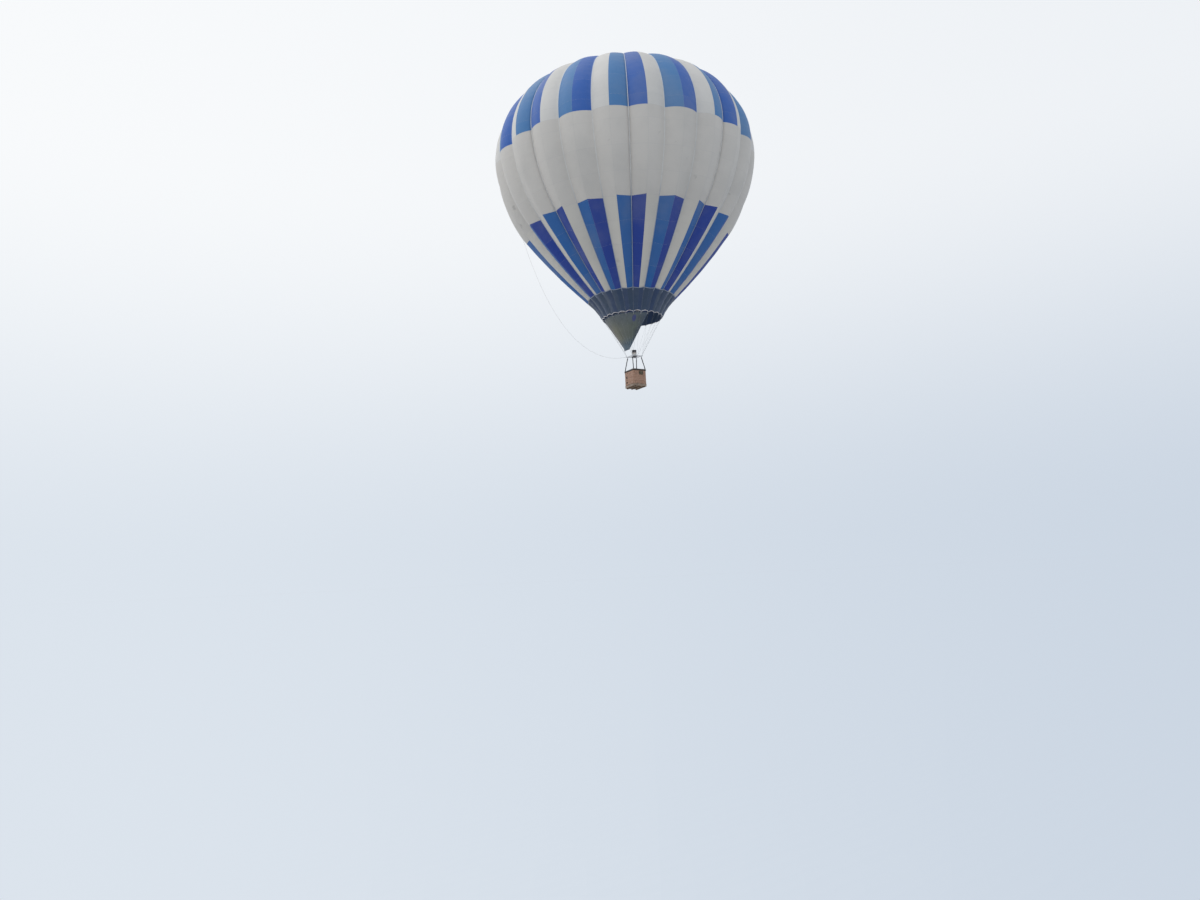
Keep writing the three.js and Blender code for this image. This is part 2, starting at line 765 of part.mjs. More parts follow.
// Fuel cylinders standing in two corners, with guard collar and foot ring
const CYLINDER_PROFILE = [
  [0, 0],
  [118, 0],
  [118, 34],
  [CYLINDER_RADIUS - 14, 44],
  [CYLINDER_RADIUS, 84],
  [CYLINDER_RADIUS, 720],
  [CYLINDER_RADIUS - 20, 765],
  [82, 795],
  [82, 860],
  [76, 860],
  [76, 799],
  [26, 806],
  [26, 838],
  [0, 838],
];
const CYLINDER_PLACES = [
  { name: "left", x: -1, y: 1 },
  { name: "right", x: 1, y: -1 },
];
const CYLINDER_FROM_WALL = WALL + CYLINDER_RADIUS + 12;
for (const place of CYLINDER_PLACES) {
  const cylinder = turned(CYLINDER_PROFILE, 20);
  piece(basket, `fuel_cylinder_${place.name}`, ALUMINIUM, cylinder).position.set(
    place.x * (BASKET_HALF_X - CYLINDER_FROM_WALL),
    place.y * (BASKET_HALF_Y - CYLINDER_FROM_WALL),
    SKID_HEIGHT + FLOOR_THICKNESS + 3 * FIT,
  );
}

// Blank pouch on the wall's right face
piece(basket, "side_pouch", HIDE, box(POUCH.width, POUCH.depth, POUCH.height)).position.set(
  POUCH.along,
  -BASKET_HALF_Y - POUCH.depth / 2 - FIT,
  POUCH.level,
);

export default balloon;
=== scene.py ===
"""A hot air balloon with its basket, in metres, dressed for a soft overcast day."""

import math

import bmesh
import bpy
import numpy as np
from mathutils import Matrix, Vector, noise


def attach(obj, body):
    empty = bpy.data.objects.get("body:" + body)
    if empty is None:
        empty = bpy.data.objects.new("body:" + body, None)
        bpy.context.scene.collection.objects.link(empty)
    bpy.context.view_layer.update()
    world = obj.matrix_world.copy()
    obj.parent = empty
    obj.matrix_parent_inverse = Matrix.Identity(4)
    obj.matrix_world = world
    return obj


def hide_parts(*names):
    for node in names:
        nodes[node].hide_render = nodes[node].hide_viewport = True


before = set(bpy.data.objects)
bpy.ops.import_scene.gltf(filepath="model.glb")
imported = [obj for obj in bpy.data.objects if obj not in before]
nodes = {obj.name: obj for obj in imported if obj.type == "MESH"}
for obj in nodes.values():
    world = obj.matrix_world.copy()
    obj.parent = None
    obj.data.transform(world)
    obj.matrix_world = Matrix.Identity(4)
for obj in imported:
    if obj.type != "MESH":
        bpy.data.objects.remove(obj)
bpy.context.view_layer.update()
scene = bpy.context.scene
scene.view_settings.view_transform = "Standard"

# Camera
# A wide compact lens, held level with the floor and about 59 metres from the basket.
# The balloon leans a little away from it, so in the balloon's own axes the camera leans instead.
CAMERA_PLACE = Vector((-2.8184, -59.0367, -25.6959))
CAMERA_AHEAD = Vector((0.006089, 0.990888, 0.134553))
CAMERA_UP = Vector((0.044792, -0.134691, 0.989875))
LENS_PIXELS = 950
IMAGE_WIDTH = 1200

camera = bpy.data.objects.new("camera", bpy.data.cameras.new("camera"))
scene.collection.objects.link(camera)
camera_turn = Matrix((CAMERA_AHEAD.cross(CAMERA_UP).normalized(), CAMERA_UP, -CAMERA_AHEAD)).transposed()
camera.matrix_world = Matrix.Translation(CAMERA_PLACE) @ camera_turn.to_4x4()
camera.data.sensor_width = 36
camera.data.lens = camera.data.sensor_width * LENS_PIXELS / IMAGE_WIDTH
camera.data.clip_start, camera.data.clip_end = 0.0002, 2000
scene.camera = camera

# Crown line
# A braided line tied to the crown ring. It lies in the valley of one load tape down to the
# envelope's shoulder, then hangs free in a long bow and is made fast to the burner frame.
MOUTH_Z = -9.4
MOUTH_RADIUS = 1.888
MOUTH_SLOPE = 26.1
# The gores' crest from the mouth up, as arcs: length in metres, slope from the vertical at its end
CREST_ARCS = ((1.602, 46.2), (5.775, 36.8), (4.742, 6.2), (2.822, -26.2), (3.795, -66.6))
GORES = 24
GORE_ANGLE = 2 * math.pi / GORES
# How the gores bulge at a length from the mouth: how deep the load tapes lie, as a share of the
# radius, and from 0, a round bulge, to 1, two flat facets
GORE_FORM = (
    (0, 0.026, 0),
    (1.555, 0.045, 0.3),
    (7.34, 0.05, 0.7),
    (12.42, 0.042, 0),
    (17.0, 0.02, 0),
    (22.025, 0.01, 0),
)


def crest(length):
    """Radius, height above the mouth and slope of the gores' crest at a length from the mouth."""
    radius, height, slope, left = MOUTH_RADIUS, 0.0, math.radians(MOUTH_SLOPE), length
    for arc, end_slope in CREST_ARCS:
        bend = (math.radians(end_slope) - slope) / arc
        end = slope + bend * min(left, arc)
        radius += (math.cos(slope) - math.cos(end)) / bend
        height += (math.sin(end) - math.sin(slope)) / bend
        slope, left = end, left - arc
        if left <= 0:
            return radius, height, slope
    cap = radius / math.cos(slope)
    end = slope - left / cap
    return cap * math.cos(end), height + cap * (math.sin(slope) - math.sin(end)), end


def cap_length(radius):
    """The length from the mouth at which the crown's cap reaches a radius."""
    arcs = sum(arc for arc, _ in CREST_ARCS)
    start, _, slope = crest(arcs)
    cap = start / math.cos(slope)
    return arcs + cap * (slope + math.acos(radius / cap))


def on_envelope(azimuth, length, lift=0.0):
    """A point over the gored surface, azimuth in degrees from the near side towards +X."""
    radius, height, slope = crest(length)
    share = azimuth / math.degrees(GORE_ANGLE) % 1
    lengths, dips, folds = zip(*GORE_FORM)
    dip, fold = np.interp(length, lengths, dips), np.interp(length, lengths, folds)
    bulge = (1 - fold) * 4 * share * (1 - share) + fold * (1 - abs(2 * share - 1))
    inset = dip * radius * (1 - bulge) - lift
    radius, height = radius - inset * math.cos(slope), height + inset * math.sin(slope)
    angle = math.radians(azimuth)
    return Vector((radius * math.sin(angle), -radius * math.cos(angle), MOUTH_Z + height))


LINE_DIAMETER, LINE_TAPE, LINE_LIFT = 0.010, -75, 0.036
LINE_LENGTHS = (23.88, 22.6, 21.2, 19.8, 18.4, 17.0, 15.6, 14.3, 13.1, 12.25)
LINE_FREE = (  # from the mouth's centre
    (-7.680, -2.058, 9.320),
    (-7.467, -1.994, 8.257),
    (-7.237, -1.925, 7.198),
    (-6.986, -1.849, 6.144),
    (-6.711, -1.767, 5.097),
    (-6.408, -1.676, 4.058),
    (-6.069, -1.574, 3.031),
    (-5.686, -1.459, 2.021),
    (-5.248, -1.327, 1.037),
    (-4.739, -1.174, 0.091),
    (-4.135, -0.993, -0.793),
    (-3.411, -0.775, -1.570),
    (-2.543, -0.514, -2.163),
    (-1.547, -0.215, -2.456),
    (-0.880, -0.015, -2.447),
    (-0.541, 0.098, -2.372),
)


def curve_through(name, points, radius, resolution=12, cyclic=False):
    """A round cord or bar along a smooth curve through points."""
    data = bpy.data.curves.new(name, "CURVE")
    data.dimensions, data.resolution_u, data.use_fill_caps = "3D", resolution, not cyclic
    data.bevel_depth, data.bevel_resolution = 1.0, 2
    spline = data.splines.new("BEZIER")
    spline.bezier_points.add(len(points) - 1)
    spline.use_cyclic_u = cyclic
    for knot, point in zip(spline.bezier_points, points):
        knot.co, knot.radius = point, radius
        knot.handle_left_type = knot.handle_right_type = "AUTO"
    cord = bpy.data.objects.new(name, data)
    scene.collection.objects.link(cord)
    return cord


line_points = [on_envelope(LINE_TAPE, length, LINE_LIFT) for length in LINE_LENGTHS]
line_points += [Vector(point) + Vector((0, 0, MOUTH_Z)) for point in LINE_FREE]
crown_line = curve_through("crown_line_rope", line_points, LINE_DIAMETER / 2, 8)
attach(crown_line, "envelope_and_basket")
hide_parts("crown_line")

# Envelope cloth
# Ripstop nylon, sewn from 48 half-gore panels in light blue, royal blue and white, white all round
# the belly. Seams are felled and stitched twice, and the cloth puckers where the load tapes hold it.
# Below the belly the stripes are darker copies of the crown's, a painted shade, and their white is warmer,
# a painted warm bounce light. Seen from inside, the cloth has a painted glow for the daylight behind it.
BAND_SEAM, LOWER_SEAM, BELLY_SEAM, OPENING_SEAM = 1.555, 7.340, 12.420, 22.025
SEAM_GAP, RIM_RISE, CLOTH_THICKNESS, BORDER_PEAK = 0.0004, 0.100, 0.004, 0.20
CREST_END = cap_length(0)
WHITE, LIGHT_BLUE, ROYAL_BLUE = (0.60, 0.582, 0.555), (0.062, 0.185, 0.40), (0.030, 0.110, 0.39)
# Painted shade: darker copies of the stripes for the shaded lower zone, with a warmer white for painted warm
# bounce light.
WHITE_SHADED, LIGHT_BLUE_SHADED, ROYAL_BLUE_SHADED = (0.575, 0.545, 0.495), (0.019, 0.112, 0.345), (0.012, 0.044, 0.275)
# The belly's white is warmer than the crown's: a painted warm bounce light from the ground.
BELLY_WHITE = (0.565, 0.533, 0.494)
# The smudge colour also paints the shade in the valleys beside the load tapes.
DUST, SMUDGE_AND_VALLEY_SHADE = (0.30, 0.30, 0.29), (0.10, 0.095, 0.085)
ENVELOPE_MIDDLE = Vector((0, 0, -1))
PANEL_HEIGHT, SEAM_WIDTH, RIPSTOP_SQUARE = 1.446, 0.016, 0.0055


def socket_of(value):
    """The socket of a number, or a node's first output; any other value stays as it is."""
    if isinstance(value, bpy.types.Node):
        return value.outputs[0]
    return getattr(value, "socket", value)


class Number:
    """A number in a node tree: arithmetic written with it becomes Math nodes."""

    def __init__(self, tree, socket):
        self.tree, self.socket = tree, socket

    def math(self, operation, *others):
        sockets = dict(enumerate((self, *others)))
        return self.tree.number(self.tree.add("ShaderNodeMath", {"operation": operation}, sockets))

    def __add__(self, other):
        return self.math("ADD", other)

    def __mul__(self, other):
        return self.math("MULTIPLY", other)

    __radd__, __rmul__ = __add__, __mul__

    def __sub__(self, other):
        return self.math("SUBTRACT", other)

    def __rsub__(self, other):
        return self * -1 + other

    def __truediv__(self, other):
        return self.math("DIVIDE", other)

    def __mod__(self, other):
        return self.math("FLOORED_MODULO", other)

    def __abs__(self):
        return self.math("ABSOLUTE")

    def __lt__(self, other):
        return self.math("LESS_THAN", other)

    def __gt__(self, other):
        return self.math("GREATER_THAN", other)

    def floor(self):
        return self.math("FLOOR")

    def sine(self):
        return self.math("SINE")

    def cosine(self):
        return self.math("COSINE")

    def above(self, low, high):
        """0 below low, 1 above high, and a smooth rise between."""
        settings, sockets = {"interpolation_type": "SMOOTHSTEP"}, {0: self, 1: low, 2: high}
        return self.tree.number(self.tree.add("ShaderNodeMapRange", settings, sockets))


class Tree:
    """A node tree with one way to add a node: its type, its settings, then its sockets."""

    def __init__(self, nodes_of):
        self.tree = nodes_of

    def add(self, kind, settings=None, sockets=None):
        node = self.tree.nodes.new(kind)
        for name, value in (settings or {}).items():
            if name == "stops":
                ramp = node.color_ramp
                while len(ramp.elements) < len(value):
                    ramp.elements.new(0.5)
                for element, (place, colour) in zip(ramp.elements, value):
                    element.position, element.color = place, (*colour, 1)
            elif name == "knots":
                points = node.mapping.curves[0].points
                while len(points) < len(value):
                    points.new(0.5, 0.5)
                for point, place in zip(points, value):
                    point.location, point.handle_type = place, "VECTOR"
                node.mapping.update()
            else:
                setattr(node, name, value)
        for key, value in (sockets or {}).items():
            value = socket_of(value)
            if isinstance(value, bpy.types.NodeSocket):
                self.tree.links.new(value, node.inputs[key])
            elif node.inputs[key].type == "RGBA" and len(value) == 3:
                node.inputs[key].default_value = (*value, 1)
            else:
                node.inputs[key].default_value = value
        return node

    def number(self, source):
        return Number(self, socket_of(source))

    def split(self, vector):
        parts = self.add("ShaderNodeSeparateXYZ", None, {0: vector})
        return [self.number(socket) for socket in parts.outputs]

    def point(self, x=0.0, y=0.0, z=0.0):
        return self.add("ShaderNodeCombineXYZ", None, {0: x, 1: y, 2: z})

    def vector(self, operation, *values):
        return self.add("ShaderNodeVectorMath", {"operation": operation}, dict(enumerate(values)))

    def scaled(self, vector, share):
        return self.add("ShaderNodeVectorMath", {"operation": "SCALE"}, {0: vector, "Scale": share})

    def mix(self, share, a, b):
        """Colour a turning into colour b."""
        settings = {"data_type": "RGBA", "clamp_factor": True}
        return self.add("ShaderNodeMix", settings, {0: share, 6: a, 7: b}).outputs[2]

    def realize(self, geometry):
        return self.add("GeometryNodeRealizeInstances", None, {"Geometry": geometry})

    def store(self, geometry, name, kind, domain, value):
        """Geometry that keeps a value under a name, for its material."""
        sockets = {"Geometry": geometry, "Name": name, "Value": value}
        return self.add("GeometryNodeStoreNamedAttribute", {"data_type": kind, "domain": domain}, sockets)

    def noise(self, place, scale, detail=2.0, roughness=0.5):
        """Cloudy noise about 0.5, over a place in metres, with features of 1 / scale."""
        sockets = {"Vector": place, "Scale": scale, "Detail": detail, "Roughness": roughness}
        return self.number(self.add("ShaderNodeTexNoise", None, sockets).outputs["Fac"])


class Finish(Tree):
    """A material, whose shader takes plain values and what changes over the surface."""

    def __init__(self, name, fixed):
        self.material = bpy.data.materials.new(name)
        self.material.use_nodes = True
        super().__init__(self.material.node_tree)
        self.shader = self.tree.nodes["Principled BSDF"]
        for socket, value in fixed.items():
            self.set(socket, value)

    def set(self, socket, value):
        value = socket_of(value)
        if isinstance(value, bpy.types.NodeSocket):
            self.tree.links.new(value, self.shader.inputs[socket])
        else:
            value = (*value, 1) if isinstance(value, tuple) else value
            self.shader.inputs[socket].default_value = value

    def place(self):
        """A point's place on the object, in metres."""
        return self.add("ShaderNodeTexCoord").outputs["Object"]

    def attribute(self, name):
        """The three numbers of a piece's own attribute."""
        return self.split(self.add("ShaderNodeAttribute", {"attribute_name": name}).outputs["Vector"])

    def bump(self, height, depth, onto=None):
        """Relief of a real depth in metres."""
        sockets = {"Height": height, "Distance": depth, "Strength": 1.0}
        if onto is not None:
            sockets["Normal"] = onto
        relief = self.add("ShaderNodeBump", None, sockets)
        self.set("Normal", relief)
        return relief


def form(name, inputs):
    """A Geometry Nodes group with named inputs (label, kind of socket, value), its tree, what it is
    given, and a call that ends it with its material."""
    group = bpy.data.node_groups.new(name, "GeometryNodeTree")
    group.interface.new_socket("Geometry", in_out="OUTPUT", socket_type="NodeSocketGeometry")
    for label, kind, value in (*inputs, ("Material", "Material", None)):
        socket = group.interface.new_socket(label, in_out="INPUT", socket_type=f"NodeSocket{kind}")
        if value is not None:
            socket.default_value = value
    tree = Tree(group)
    given = tree.add("NodeGroupInput").outputs
    out = tree.add("NodeGroupOutput")

    def finish(geometry):
        sockets = {"Geometry": geometry, "Material": given["Material"]}
        coated = tree.add("GeometryNodeSetMaterial", None, sockets)
        group.links.new(coated.outputs[0], out.inputs[0])

    return group, tree, given, finish


def made(name, group, thickness=0.0, inner=None, **values):
    """A plain mesh from a group, with its walls thickened inwards and a material for the inside."""
    piece = bpy.data.objects.new(name, bpy.data.meshes.new(name))
    scene.collection.objects.link(piece)
    modifier = piece.modifiers.new("form", "NODES")
    modifier.node_group = group
    for item in group.interface.items_tree:
        key = item.name.lower().replace(" ", "_")
        if item.in_out == "INPUT" and key in values:
            modifier[item.identifier] = values[key]
    if thickness:
        wall = piece.modifiers.new("wall", "SOLIDIFY")
        wall.thickness, wall.offset, wall.use_even_offset = thickness, -1, True
    graph = bpy.context.evaluated_depsgraph_get()
    mesh = bpy.data.meshes.new_from_object(
        piece.evaluated_get(graph), preserve_all_data_layers=True, depsgraph=graph
    )
    piece.modifiers.clear()
    piece.data = mesh
    mesh.name = name
    mesh.shade_smooth()
    mesh.materials.clear()
    mesh.materials.append(values["material"])
    if inner:
        mesh.materials.append(inner)
        for face in mesh.polygons:
            if face.normal.dot(face.center - ENVELOPE_MIDDLE) < 0:
                face.material_index = 1
    return piece


def guide_object(name, points):
    """A line through points that Geometry Nodes read. It isn't part of the scene."""
    data = bpy.data.curves.new(name, "CURVE")
    data.dimensions = "3D"
    spline = data.splines.new("POLY")
    spline.points.add(len(points) - 1)
    for knot, point in zip(spline.points, points):
        knot.co = (*point, 1)
    return bpy.data.objects.new(name, data)


# The crest line in the plane of azimuth 90 degrees, where X is its radius and Z its height
crest_steps = [crest(length) for length in (*np.arange(0, CREST_END, 0.1), CREST_END)]
crest_guide = guide_object("crest_guide", [(r, 0, MOUTH_Z + height) for r, height, _ in crest_steps])

gored, tree, given, finish_form = form(
    "gored_cloth",
    [
        ("Crest", "Object", None),
        ("First Gore", "Float", 0.0),
        ("Last Gore", "Float", 3.0),
        ("Low", "Float", BAND_SEAM),
        ("High", "Float", OPENING_SEAM),
        ("Low Rise", "Float", 0.0),
        ("High Rise", "Float", 0.0),
        ("Lift", "Float", 0.0),
        ("Columns", "Int", 48),
        ("Rows", "Int", 200),
        ("Pucker", "Float", 0.012),
        ("Billow", "Float", 0.03),
    ],
)
counts = {"Size X": 1.0, "Size Y": 1.0, "Vertices X": given["Columns"], "Vertices Y": given["Rows"]}
grid = tree.add("GeometryNodeMeshGrid", None, counts)
across, along, _ = tree.split(tree.add("GeometryNodeInputPosition"))
across, along = across + 0.5, along + 0.5
first, last, low, high, lift, pucker, billow = (
    tree.number(given[label])
    for label in ("First Gore", "Last Gore", "Low", "High", "Lift", "Pucker", "Billow")
)
gore = first + across * (last - first)
share = gore % 1.0
arc = share * (1 - share) * 4
low, high = (edge + arc * given[f"{name} Rise"] for edge, name in ((low, "Low"), (high, "High")))
length = low + along * (high - low)
half = abs(share * 2 - 1)


def form_at(column):
    """A column of the gores' table, between its rows, at the cloth's length."""
    most = max(row[column] for row in GORE_FORM)
    knots = [(row[0] / CREST_END, row[column] / most) for row in GORE_FORM]
    knots.append((1.0, knots[-1][1]))
    line = tree.add("ShaderNodeFloatCurve", {"knots": knots}, {"Value": length / CREST_END})
    return tree.number(line) * most


fold = form_at(2)
bulge = arc + fold * ((1 - half) - arc)
crest_line = tree.add("GeometryNodeObjectInfo", None, {"Object": given["Crest"]}).outputs["Geometry"]
sample = tree.add("GeometryNodeSampleCurve", {"mode": "LENGTH"}, {"Curves": crest_line, "Length": length})
radius, _, height = tree.split(sample.outputs["Position"])
way_out, _, way_up = tree.split(sample.outputs["Tangent"])
inset = form_at(1) * radius * (1 - bulge)
# Puckers: short waves beside each tape. Billows: slack that the wind works in the middle of a gore.
from_tape = (1 - half) * radius * (GORE_ANGLE / 2)
beside = (from_tape / 0.09) * (1 - from_tape / 0.09).math("EXPONENT")
ground = tree.point(gore * 1.7, length)
waves = (length * 13.5 + tree.noise(ground, 0.9) * 9 + gore.floor() * 2.1).sine()
slack = (tree.noise(ground, 0.55, 1.0) - 0.5) * arc * 2
inset = inset - waves * pucker * beside - slack * billow - lift
out, up = radius - inset * way_up, height + inset * way_out
turn = gore * GORE_ANGLE
place = tree.point(out * turn.sine(), out * turn.cosine() * -1, up)
mapped = tree.store(grid.outputs["Mesh"], "sewn", "FLOAT_VECTOR", "POINT", tree.point(length, radius))
placed = tree.add("GeometryNodeSetPosition", None, {"Geometry": mapped, "Position": place})
closed = tree.add("GeometryNodeMergeByDistance", None, {"Geometry": placed, "Distance": 0.0005})
finish_form(tree.realize(closed))


def gore_at(cloth, spot):
    """Which gore a point lies on, counted from the near side, and its share across it."""
    x, y, _ = cloth.split(spot)
    return x.math("ARCTAN2", y * -1) / GORE_ANGLE


def sew_seams(gore, length, radius):
    """Felled seams, 1 on their overlap, and the two rows of stitches in them, 1 on the thread."""
    side = abs((gore * 2 + 0.5) % 1.0 - 0.5) * radius * (GORE_ANGLE / 2)
    level = abs((length - BAND_SEAM + PANEL_HEIGHT / 2) % PANEL_HEIGHT - PANEL_HEIGHT / 2)
    border = abs(length - BELLY_SEAM)
    nearest = side.math("MINIMUM", level).math("MINIMUM", border)
    seam = 1 - nearest.above(SEAM_WIDTH * 0.45, SEAM_WIDTH * 0.55)
    stitch = 1 - abs(nearest - SEAM_WIDTH * 0.3).above(0.0008, 0.0014)
    return seam, stitch


def nylon(name, stripes, shaded_low_stripes=None, belly=None, sheen=0.04, glow=0.0, thread=0.4):
    """Ripstop nylon: stripes by half gore, seams, creases, ripstop squares, dust, smudges, painted shade,
    glow.
    """
    fixed = {"Sheen Weight": sheen, "Sheen Roughness": 0.5, "Specular IOR Level": 0.25}
    cloth = Finish(name, {**fixed, "Emission Strength": glow})
    spot = cloth.place()
    gore = gore_at(cloth, spot)
    length, radius, _ = cloth.attribute("sewn")
    kind = (gore * 2).floor() % 3.0
    colour = cloth.mix(kind > 1.5, cloth.mix(kind > 0.5, *stripes[:2]), stripes[2])
    if belly:
        # The border runs in a peak over every gore, because its middle is cut longer than its sides
        peak = 0.5 - abs(gore % 1.0 - 0.5) * 2
        below = length < peak * BORDER_PEAK + LOWER_SEAM
        # Below the lower seam: darker, warmer copies of the stripes, a painted shade and painted warm bounce
        # light.
        shaded_colour = cloth.mix(kind > 1.5, cloth.mix(kind > 0.5, *shaded_low_stripes[:2]), shaded_low_stripes[2])
        colour = cloth.mix(length < BELLY_SEAM, colour, belly)
        colour = cloth.mix(below, colour, shaded_colour)
    # Every panel comes from another part of the roll, so its tone differs a little
    panel = cloth.point((gore * 2).floor(), ((length - BAND_SEAM) / PANEL_HEIGHT).floor())
    tone = cloth.add("ShaderNodeTexWhiteNoise", {"noise_dimensions": "3D"}, {"Vector": panel})
    tone = cloth.number(tone.outputs["Value"]) * 0.06
    dust = cloth.noise(spot, 0.35, 4.0, 0.6).above(0.42, 0.72) * 0.16
    colour = cloth.mix(tone + dust, colour, DUST)
    smudge = cloth.noise(spot, 1.1, 3.0, 0.65).above(0.68, 0.78)
    # Painted shade: the cloth darkens a little within 0.3 m of each load tape, in the valleys between gores.
    beside_tape = (0.5 - abs(gore % 1.0 - 0.5)) * radius * GORE_ANGLE
    colour = cloth.mix(smudge * 0.30 + (1 - beside_tape.above(0.0, 0.30)) * 0.02, colour, SMUDGE_AND_VALLEY_SHADE)
    seam, stitch = sew_seams(gore, length, radius)
    colour = cloth.mix(seam * 0.12, colour, (0.08, 0.09, 0.12))
    colour = cloth.mix(stitch * thread, colour, (0.55, 0.57, 0.60))
    cloth.set("Base Color", colour)
    # Painted glow: the inside faces emit their own colour, standing in for daylight shining through the
    # cloth.
    if glow:
        cloth.set("Emission Color", colour)
    threads = [abs((run / RIPSTOP_SQUARE) % 1.0 - 0.5) for run in (gore * radius * GORE_ANGLE, length)]
    relief = cloth.bump(cloth.noise(spot, 3.2, 3.0, 0.55), 0.016)
    relief = cloth.bump(seam - stitch * 0.4, 0.0012, relief)
    cloth.bump(threads[0].math("MAXIMUM", threads[1]).above(0.40, 0.48), 0.00012, relief)
    cloth.set("Roughness", cloth.noise(spot, 8.0) * 0.12 + 0.50)
    return cloth.material


def cut_area(low, high, gores):
    """Flat area of gores between two lengths, in square metres; the bulge adds 1 per cent."""
    lengths = np.linspace(low, high, 60)
    radii = [crest(length)[0] for length in lengths]
    return float(np.trapz(radii, lengths)) * GORE_ANGLE * gores * 1.01


ALL_ROUND = {"crest": crest_guide, "first_gore": 0.0, "last_gore": float(GORES)}
STRIPES, SHADED_LOW_STRIPES = (ROYAL_BLUE, WHITE, LIGHT_BLUE), (ROYAL_BLUE_SHADED, WHITE_SHADED, LIGHT_BLUE_SHADED)
striped_nylon = nylon("striped_nylon", STRIPES, SHADED_LOW_STRIPES, BELLY_WHITE)
# The inside's glow is painted light for the daylight through the cloth.
striped_inside = nylon("striped_nylon_inside", STRIPES, SHADED_LOW_STRIPES, BELLY_WHITE, glow=0.10)
SECTORS, COLUMNS_EACH, WIDEST_GORE = 8, 14, 2.23
GORES_EACH = GORES // SECTORS
for sector in range(SECTORS):
    cloth = made(
        f"gores_{sector + 1}",
        gored,
        CLOTH_THICKNESS,
        striped_inside,
        crest=crest_guide,
        first_gore=sector * GORES_EACH + SEAM_GAP,
        last_gore=(sector + 1) * GORES_EACH - SEAM_GAP,
        low=BAND_SEAM + SEAM_GAP,
        high=OPENING_SEAM,
        columns=GORES_EACH * COLUMNS_EACH + 1,
        rows=200,
        material=striped_nylon,
    )
    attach(cloth, "envelope_and_basket")
    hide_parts(*(f"{zone}_panels_{sector + 1}" for zone in ("lower", "belly", "crown")))
    cut_area(BAND_SEAM, OPENING_SEAM, GORES_EACH)

# Load tapes and crown ring
# Polyester webbing, one sewn in the valley between every two gores. Each is looped round the
# welded alloy crown ring, crosses the valve opening, and runs down to the mouth's rim.
TAPE_WIDTH, TAPE_THICKNESS, TAPE_LIFT, TAPE_OVERLAP = 0.040, 0.003, 0.014, 0.26
CROWN_RING_RADIUS, CROWN_RING_BAR = 0.150, 0.012
RING_LENGTH = cap_length(CROWN_RING_RADIUS)
RING_HEIGHT = on_envelope(90, RING_LENGTH, TAPE_LIFT).z + CROWN_RING_BAR / 2

webbing = Finish("webbing", {"Sheen Weight": 0.2})
run, height = webbing.attribute("run")[0], webbing.split(webbing.place())[2]
worn = webbing.noise(webbing.place(), 2.5, 4.0, 0.6).above(0.40, 0.75)
# Polyester: slate blue below, pale over the belly, where it is lightened against the shade in its
# valleys as painted light, and blue-grey above; heat-proof aramid on the mouth band
colour = webbing.mix(height.above(-4.5, -2.5), (0.27, 0.31, 0.39), (0.60, 0.595, 0.575))
colour = webbing.mix(height.above(1.0, 4.0), colour, (0.52, 0.56, 0.62))
colour = webbing.mix(height.above(-8.25, -8.20), (0.052, 0.078, 0.128), colour)
webbing.set("Base Color", webbing.mix(worn * 0.3, colour, (0.24, 0.25, 0.27)))
webbing.set("Roughness", worn * 0.2 + 0.6)
webbing.bump((run * (2 * math.pi / 0.0035)).sine(), 0.0004)

# A tape is flat and the valley isn't, so it lies where its edges just meet the cloth
guide_points = []
for length in np.arange(0.004, RING_LENGTH, 0.11):
    lengths, dips, folds = zip(*GORE_FORM)
    steep = np.interp(length, lengths, dips) * (4 - 2 * np.interp(length, lengths, folds)) / GORE_ANGLE
    seated = TAPE_THICKNESS / 2 + steep * TAPE_WIDTH * 0.4
    rise = min(max((length - OPENING_SEAM + TAPE_OVERLAP) / TAPE_OVERLAP, 0), 1)
    lift = seated + (TAPE_LIFT + TAPE_THICKNESS - seated) * rise
    guide_points.append(on_envelope(90, length, lift))
for turn in range(60, -181, -40):
    reach = CROWN_RING_BAR + TAPE_THICKNESS / 2
    around = Vector((-math.cos(math.radians(turn)), 0, math.sin(math.radians(turn)))) * reach
    guide_points.append(Vector((CROWN_RING_RADIUS, 0, RING_HEIGHT)) + around)
tape_guide = guide_object("tape_guide", guide_points)

tape_set, tree, given, finish_form = form(
    "tape_set",
    [
        ("Guide", "Object", None),
        ("Count", "Int", GORES),
        ("Width", "Float", TAPE_WIDTH),
        ("Thickness", "Float", TAPE_THICKNESS),
    ],
)
index = tree.number(tree.add("GeometryNodeInputIndex"))
line = tree.add("GeometryNodeMeshLine", None, {"Count": given["Count"], "Offset": (0, 0, 0)})
guide = tree.add("GeometryNodeObjectInfo", None, {"Object": given["Guide"]}).outputs["Geometry"]
places = {"Points": line, "Instance": guide, "Rotation": tree.point(z=index * GORE_ANGLE)}
copies = tree.realize(tree.add("GeometryNodeInstanceOnPoints", None, places))
run_length = tree.point(tree.add("GeometryNodeSplineParameter").outputs["Length"])
measured = tree.store(copies, "run", "FLOAT_VECTOR", "POINT", run_length)
level = tree.add("GeometryNodeSetCurveNormal", {"mode": "MINIMUM_TWIST"}, {"Curve": measured})
size = {"Width": given["Width"], "Height": given["Thickness"]}
profile = tree.add("GeometryNodeCurvePrimitiveQuadrilateral", None, size)
sockets = {"Curve": level, "Profile Curve": profile, "Fill Caps": True}
finish_form(tree.add("GeometryNodeCurveToMesh", None, sockets))

load_tapes = made("load_tapes", tape_set, guide=tape_guide, material=webbing.material)
load_tapes.data.shade_flat()
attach(load_tapes, "envelope_and_basket")
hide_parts("crown_ring")

